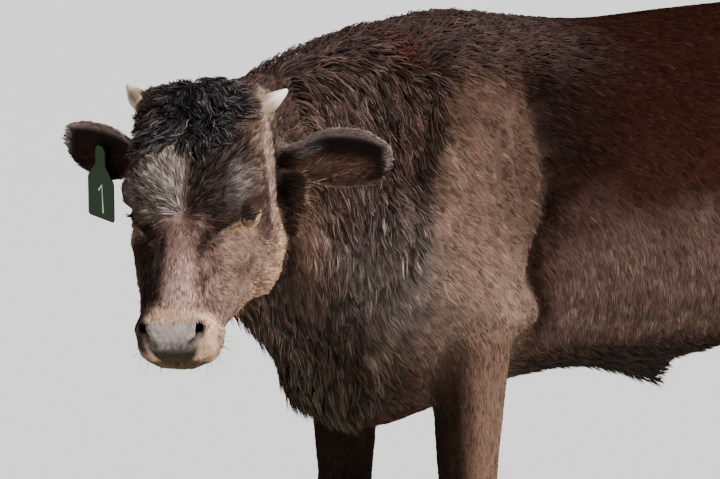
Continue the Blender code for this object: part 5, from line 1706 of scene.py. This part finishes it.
def whisker_roots(count, rng):
    weight = in_face((0.385, 0.040, -0.100), (0.025, 0.022, 0.030))
    weight += 0.6 * in_face((0.365, 0.045, -0.135), (0.030, 0.030, 0.025))
    weight += 0.5 * in_face((0.335, 0.050, -0.060), (0.025, 0.022, 0.030))
    weight = weight * (weight > 0.1) * (skin_bare < 0.3)
    roots = roots_at(rng.choice(len(weight), count, p=weight / weight.sum()))
    down = in_world((0.45, 0.0, 0.10))
    roots["lie"] = unit(roots["normal"] * 0.9 + down + rng.normal(0, 0.2, (count, 3)))
    roots["length"][:] = 0.012 + 0.014 * rng.random(count)
    roots["width"][:], roots["lift"][:] = 0.0008, 0.1
    roots["colour"][:] = shade(120, 104, 92)
    return roots


FEELER_SEED = 7
FEELER_BLADE_SEED = 77
feeler_rng = np.random.default_rng(FEELER_SEED)
planted = [lash_roots("left", 46, feeler_rng), lash_roots("right", 40, feeler_rng),
           whisker_roots(44, feeler_rng)]
feelers = {name: np.concatenate([roots[name] for roots in planted]) for name in planted[0]}
feelers["gather"][:], feelers["curl"][:], feelers["contrast"][:] = 0.0, 0.0, 0.4
coat.append(coated("coat_feelers", feelers, 2, 0.004, chart_of("head", feelers),
                   FEELER_BLADE_SEED))

# %% [markdown]
# ## Eyes, horns, claws and tag
#
# These stay hard and separate. The eyeballs are fine spheres coloured by the angle from
# their line of sight: a dark oval pupil, a brown iris, and a white that is brown at its
# rim. Horns and claws take the solids' own shape, made smooth and ringed with growth.

# %% Eyes
def eyeball(side):
    look, run, brow = eye_frame(side)
    gaze = unit(np.array([0.50, 0.66 * SIDE[side], 0.55])) @ HEAD_AXES
    bpy.ops.mesh.primitive_uv_sphere_add(segments=96, ring_count=64, radius=EYE_RADIUS)
    ball = bpy.context.object
    ball.name = f"eyeball_{side}"
    points, faces = arrays_of(ball.data)
    bpy.data.objects.remove(ball)
    flat = points / EYE_RADIUS
    bulge = 0.0006 * rise(flat[:, 2], 0.78, 0.92)
    places = EYE[side] + (points + flat * bulge[:, None]) @ np.array([run, brow, look])
    piece = mesh_object(f"eyeball_{side}", places, faces)
    aside = flat @ np.array([run, brow, look])
    off = np.degrees(np.arccos(np.clip(aside @ gaze, -1, 1)))
    level = aside @ unit(run - (run @ gaze) * gaze)
    height = aside @ unit(brow - (brow @ gaze) * gaze)
    oval = np.degrees(np.arcsin(np.clip(np.hypot(level / 1.5, height), 0, 1)))
    grain = 0.85 + 0.3 * np.sin(27 * np.arctan2(height, level))
    white, iris = shade(150, 128, 112), shade(44, 28, 20)
    colour = white + (shade(60, 42, 32) - white) * (1 - rise(off, 46, 64))[:, None]
    colour += (iris * grain[:, None] - colour) * (1 - rise(off, 41, 46))[:, None]
    colour += (shade(6, 5, 6) - colour) * (1 - rise(oval, 16, 19))[:, None]
    paint(piece, colour)
    return piece


eyeballs = {side: eyeball(side) for side in SIDE}
print(f"{len(eyeballs)} eyeballs, {2000 * EYE_RADIUS:.0f} mm across")

# %% Horns
HORN_RINGS = (0.0034, 0.0061)


def smooth_copy(name, points, faces, levels):
    piece = mesh_object(name, points, faces)
    modifier = piece.modifiers.new("smooth", "SUBSURF")
    modifier.levels = levels
    return with_modifiers(piece)


def horn(side):
    points, faces = smooth_copy("rough", *solid_arrays(f"horn_{side}"), 2)
    reach = (to_head(points) - HORN_ROOT[side]) @ unit(HORN_RUN[side])
    normals = corner_normals(points, faces)
    wave = np.sin(2 * math.pi * reach / HORN_RINGS[0])
    wave += 0.6 * np.sin(2 * math.pi * reach / HORN_RINGS[1])
    points = points + normals * (0.00018 * wave * (1 - rise(reach, 0.020, 0.034)))[:, None]
    run = unit(HORN_RUN[side])
    axis = HORN_ROOT[side] + reach[:, None] * run
    local = to_head(points)
    slim = 1.10 - 0.42 * rise(reach, 0.004, reach.max())
    longer = 0.0045 * rise(reach, 0.012, reach.max())
    local = axis + (local - axis) * slim[:, None] + run * longer[:, None]
    points = from_head(local)
    piece = mesh_object(f"horn_{side}_piece", points, faces)
    share = rise(reach, 0.0, 0.030)[:, None]
    colour = shade(146, 122, 98) * (1 - share) + shade(246, 234, 206) * share
    paint(piece, colour * (1 + 0.06 * wave[:, None]))
    return piece


horns = {side: horn(side) for side in SIDE}
tell(f"eyes and {len(horns)} horns")

# %% Claws
CLAWS = [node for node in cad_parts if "claw" in node]
CLAW_VOXEL = 0.0026
CLAW_RINGS = (0.0052, 0.0083)
SOLE = 0.0012


def claw(node):
    piece = mesh_object("rough", *solid_arrays(node))
    remesh = piece.modifiers.new("even", "REMESH")
    remesh.mode = "VOXEL"
    remesh.voxel_size = CLAW_VOXEL
    points, faces = with_modifiers(piece)
    points = relaxed(points, edges_of(faces), 5, 1.0 * (points[:, 2] >= SOLE))
    points[:, 2] = np.maximum(points[:, 2], 0.0)
    height = points[:, 2]
    if "dew" not in node:
        inward = points[:, :2].mean(0) - points[:, :2]
        pull = 0.0055 * rise(height - height.max(), -0.020, -0.001)
        points[:, :2] += unit(inward) * pull[:, None]
    wave = np.sin(2 * math.pi * height / CLAW_RINGS[0])
    wave += 0.7 * np.sin(2 * math.pi * height / CLAW_RINGS[1])
    push = 0.00022 * wave * rise(height, 0.004, 0.012)
    points = points + corner_normals(points, faces) * push[:, None]
    made = mesh_object(f"{node}_piece", points, faces)
    tone = (1 + 0.10 * wave + 0.25 * rise(height, 0.0, 0.05))[:, None]
    paint(made, shade(34, 28, 25) * tone)
    return made


claws = {node: claw(node) for node in CLAWS}
tell(f"{len(claws)} claws and dewclaws")

# %% [markdown]
# The tag hangs from the right ear. Its panel and its button are the solids themselves.
# The digit is a thin raised stroke on the panel's face.

# %% The digit on the tag
DIGIT_PATH = [(-0.7493, 0.1691, 0.8911), (-0.7507, 0.1591, 0.8993), (-0.7445, 0.1641, 0.8565)]
DIGIT_WIDTH = 0.0030
DIGIT_HEIGHT = 0.0006


def panel_facing():
    points, faces = solid_arrays("tag_panel")
    normals = face_normals(points, faces)
    largest = normals[np.argmax(np.linalg.norm(normals, axis=1))]
    return unit(largest) * -np.sign(largest[0])


def flat_stroke(name, path, width, height, facing):
    """A raised stroke of even width along a bent line on a flat face."""
    path = np.array(path)
    runs = unit(np.diff(path, axis=0))
    turns = np.vstack([runs[:1], unit(runs[:-1] + runs[1:]), runs[-1:]])
    sides = unit(np.cross(facing, turns))
    rims = []
    for point, side in zip(path, sides):
        for sign, lift in ((-1, -0.3), (-1, 0.8), (-0.75, 1), (0.75, 1), (1, 0.8), (1, -0.3)):
            rims.append(point + side * sign * width / 2 + facing * lift * height)
    faces = []
    for k in range(len(path) - 1):
        for j in range(6):
            p, q = 6 * k + j, 6 * k + (j + 1) % 6
            faces += [(p, q, q + 6), (p, q + 6, p + 6)]
    last = 6 * (len(path) - 1)
    for j in range(1, 5):
        faces += [(0, j + 1, j), (last, last + j, last + j + 1)]
    return mesh_object(name, np.array(rims), np.array(faces), smooth=False)


digit = flat_stroke("tag_digit", DIGIT_PATH, DIGIT_WIDTH, DIGIT_HEIGHT, panel_facing())
print("the digit has", len(digit.data.polygons), "triangles")

# %% [markdown]
# ## Materials
#
# Four effects: mottling, a fine grain, the cobbles of a nose pad, and dust that settles
# low on the animal. Each is a node group with named inputs, made once and set differently
# in each material. A material keeps its own shader, and groups only feed it.

# %% Building with nodes
def add(tree, kind, values=None, **settings):
    """Adds a node. values maps inputs to numbers, or to sockets to link from."""
    node = tree.nodes.new(kind)
    for name, value in settings.items():
        setattr(node, name, value)
    for name, value in (values or {}).items():
        if isinstance(value, bpy.types.NodeSocket):
            tree.links.new(value, node.inputs[name])
        else:
            node.inputs[name].default_value = value
    return node


def group_with(name, inputs, outputs):
    """An empty shader group; inputs and outputs are (name, kind, default)."""
    group = bpy.data.node_groups.new(name, "ShaderNodeTree")
    for way, sockets in (("INPUT", inputs), ("OUTPUT", outputs)):
        for label, kind, default in sockets:
            socket = group.interface.new_socket(label, in_out=way, socket_type=kind)
            if default is not None:
                socket.default_value = default
    return group, group.nodes.new("NodeGroupInput").outputs, group.nodes.new("NodeGroupOutput")


NUMBER, COLOUR = "NodeSocketFloat", "NodeSocketColor"
GREY = (0.5, 0.5, 0.5, 1.0)

# %% Mottling: broad soft patches, lighter and darker
mottling, given, out = group_with(
    "mottling", [("Colour", COLOUR, GREY), ("Scale", NUMBER, 30.0), ("Strength", NUMBER, 0.2)],
    [("Colour", COLOUR, None)])
place = add(mottling, "ShaderNodeNewGeometry").outputs["Position"]
noise = add(mottling, "ShaderNodeTexNoise", {"Vector": place, "Scale": given["Scale"],
                                             "Detail": 4.0, "Roughness": 0.6})
centred = add(mottling, "ShaderNodeMath", {0: noise.outputs["Fac"], 1: 0.5}, operation="SUBTRACT")
scaled = add(mottling, "ShaderNodeMath", {0: centred.outputs[0], 1: given["Strength"]},
             operation="MULTIPLY")
value = add(mottling, "ShaderNodeMath", {0: scaled.outputs[0], 1: 1.0}, operation="ADD")
tinted = add(mottling, "ShaderNodeHueSaturation", {"Value": value.outputs[0],
                                                   "Color": given["Colour"]})
mottling.links.new(tinted.outputs["Color"], out.inputs["Colour"])

# %% Grain: fine hair-like roughness for bump
grain, given, out = group_with(
    "grain", [("Scale", NUMBER, 900.0), ("Coarse", NUMBER, 220.0)], [("Height", NUMBER, None)])
place = add(grain, "ShaderNodeNewGeometry").outputs["Position"]
fine = add(grain, "ShaderNodeTexNoise", {"Vector": place, "Scale": given["Scale"], "Detail": 2.0})
broad = add(grain, "ShaderNodeTexNoise", {"Vector": place, "Scale": given["Coarse"], "Detail": 3.0})
both = add(grain, "ShaderNodeMath", {0: fine.outputs["Fac"], 1: broad.outputs["Fac"]},
           operation="ADD")
grain.links.new(both.outputs[0], out.inputs["Height"])

# %% Cobbles: the plump little fields of a wet nose
cobbles, given, out = group_with(
    "cobbles", [("Scale", NUMBER, 420.0)], [("Height", NUMBER, None)])
place = add(cobbles, "ShaderNodeNewGeometry").outputs["Position"]
cells = add(cobbles, "ShaderNodeTexVoronoi", {"Vector": place, "Scale": given["Scale"]},
            feature="DISTANCE_TO_EDGE")
plump = add(cobbles, "ShaderNodeMapRange", {"Value": cells.outputs["Distance"],
                                            "From Max": 0.35}, interpolation_type="SMOOTHSTEP")
cobbles.links.new(plump.outputs["Result"], out.inputs["Height"])

# %% Dust: settles low on the animal
dust, given, out = group_with(
    "dust", [("Colour", COLOUR, GREY), ("Dust", COLOUR, (0.16, 0.12, 0.085, 1.0)),
             ("Top", NUMBER, 0.35), ("Strength", NUMBER, 0.4)], [("Colour", COLOUR, None)])
place = add(dust, "ShaderNodeNewGeometry").outputs["Position"]
height_of = add(dust, "ShaderNodeSeparateXYZ", {"Vector": place}).outputs["Z"]
low_down = add(dust, "ShaderNodeMapRange", {"Value": height_of, "From Max": given["Top"],
                                            "To Min": 1.0, "To Max": 0.0})
patchy = add(dust, "ShaderNodeTexNoise", {"Vector": place, "Scale": 38.0, "Detail": 5.0})
share = add(dust, "ShaderNodeMath", {0: low_down.outputs["Result"], 1: patchy.outputs["Fac"]},
            operation="MULTIPLY")
share = add(dust, "ShaderNodeMath", {0: share.outputs[0], 1: given["Strength"]},
            operation="MULTIPLY")
dusted = add(dust, "ShaderNodeMix", {0: share.outputs[0], 6: given["Colour"], 7: given["Dust"]},
             data_type="RGBA")
dust.links.new(dusted.outputs[2], out.inputs["Colour"])
print(f"{len(bpy.data.node_groups)} shader groups")

# %% [markdown]
# Every material of the animal starts alike: the stored colour, mottled, then dusted. What
# follows differs: how rough it is, how it bumps, and whether it is wet.

# %% Putting materials together
def place_group(tree, group, values):
    return add(tree, "ShaderNodeGroup", values, node_tree=group).outputs[0]


def material_with(name, mottle, dusty, constants, colour=None):
    """A material whose colour is stored on the mesh, or one colour, mottled and dusted."""
    material = bpy.data.materials.new(name)
    material.use_nodes = True
    tree = material.node_tree
    shader = tree.nodes["Principled BSDF"]
    if colour is None:
        source = add(tree, "ShaderNodeAttribute", attribute_name="colour").outputs["Color"]
    else:
        source = add(tree, "ShaderNodeRGB").outputs[0]
        source.default_value = (*colour, 1.0)
    source = place_group(tree, mottling, {"Colour": source, "Scale": mottle[0],
                                          "Strength": mottle[1]})
    source = place_group(tree, dust, {"Colour": source, "Top": dusty[0], "Strength": dusty[1]})
    tree.links.new(source, shader.inputs["Base Color"])
    for socket, value in constants.items():
        shader.inputs[socket].default_value = value
    return material, tree, shader


def bumped(tree, shader, height, strength, distance):
    bump = add(tree, "ShaderNodeBump", {"Height": height, "Strength": strength,
                                        "Distance": distance})
    tree.links.new(bump.outputs["Normal"], shader.inputs["Normal"])


# %% [markdown]
# Hair and skin share one look, so that skin never shows as a paler patch between tufts.
# Neither takes plain gloss, which would lay a grey veil over a dark coat; the coat's sheen
# is painted into the tufts' colours instead. A second value stored on the skin says where
# it is wet: only the nose pad shines.

# %% Coat and skin
coat_material, tree, shader = material_with(
    "coat_hair", (9.0, 0.22), (0.20, 0.3),
    {"Roughness": 0.6, "Specular IOR Level": 0.0})

skin_material, tree, shader = material_with(
    "skin", (9.0, 0.22), (0.20, 0.3), {"Specular IOR Level": 0.0, "Coat Roughness": 0.24})
wetness = add(tree, "ShaderNodeAttribute", attribute_name="wet").outputs["Color"]
wetness = add(tree, "ShaderNodeSeparateColor", {"Color": wetness}).outputs["Red"]
rough = add(tree, "ShaderNodeMapRange", {"Value": wetness, "To Min": 0.75, "To Max": 0.42})
tree.links.new(rough.outputs["Result"], shader.inputs["Roughness"])
shine = add(tree, "ShaderNodeMapRange", {"Value": wetness, "To Min": 0.0, "To Max": 0.14})
tree.links.new(shine.outputs["Result"], shader.inputs["Coat Weight"])
fur_height = place_group(tree, grain, {"Scale": 1100.0, "Coarse": 300.0})
pad_height = place_group(tree, cobbles, {"Scale": 400.0})
height_mix = add(tree, "ShaderNodeMix", {0: wetness, 2: fur_height, 3: pad_height})
bumped(tree, shader, height_mix.outputs[0], 0.55, 0.0011)

# %% Eyes, horns, claws and tag
eye_material, tree, shader = material_with(
    "wet_eye", (300.0, 0.15), (0.1, 0.0),
    {"Roughness": 0.25, "Specular IOR Level": 0.08, "Coat Weight": 0.08, "Coat Roughness": 0.04})

horn_material, tree, shader = material_with(
    "horn_sheath", (120.0, 0.25), (0.1, 0.0), {"Roughness": 0.42})
bumped(tree, shader, place_group(tree, grain, {"Scale": 1500.0, "Coarse": 240.0}), 0.35, 0.0004)

claw_material, tree, shader = material_with(
    "claw_horn", (70.0, 0.35), (0.03, 0.6), {"Roughness": 0.55, "Specular IOR Level": 0.3})
bumped(tree, shader, place_group(tree, grain, {"Scale": 900.0, "Coarse": 160.0}), 0.5, 0.0005)

tag_material, tree, shader = material_with(
    "tag_green", (45.0, 0.20), (0.1, 0.0), {"Roughness": 0.5, "Specular IOR Level": 0.15},
    shade(14, 46, 10))
bumped(tree, shader, place_group(tree, grain, {"Scale": 1200.0, "Coarse": 500.0}), 0.15, 0.0002)

digit_material, tree, shader = material_with(
    "tag_print", (200.0, 0.10), (0.1, 0.0), {"Roughness": 0.55}, shade(205, 208, 204))
tell("materials")

# %% [markdown]
# ## Putting it together
#
# The skin replaces every solid of flesh. The coat rides along with it, and the eyes,
# horns and claws replace their own solids. The tag's two solids stay, in new paint.

# %% The skin, and who stands for what
skin = mesh_object("skin", skin_points, skin_faces)
paint(skin, skin_colour)
paint(skin, np.repeat(here["pad"][:, None], 3, axis=1), "wet")
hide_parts(*FLESH)
dressed = [(skin, skin_material, "coat")]
dressed += [(piece, coat_material, "coat") for piece in coat]
for side in SIDE:
    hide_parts(f"eye_{side}")
    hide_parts(f"horn_{side}")
    dressed += [(eyeballs[side], eye_material, "eye"), (horns[side], horn_material, "horn")]
for node, piece in claws.items():
    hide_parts(node)
    dressed.append((piece, claw_material, "hoof"))
dressed.append((digit, digit_material, "tag"))
for piece, material, slot in dressed:
    piece.data.materials.append(material)
    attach(piece, "root")
for node in ("tag_panel", "tag_button"):
    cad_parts[node].data.materials.clear()
    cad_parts[node].data.materials.append(tag_material)

# %% Check the size, and finish
low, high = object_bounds()
over = [round(1000 * float(v)) for v in (*(cad_low - low), *(high - cad_high))]
triangles = sum(len(piece.data.polygons) for piece, material, slot in dressed)
print("beyond the solids by, in mm:", over, "with", triangles, "triangles")
tell("done")
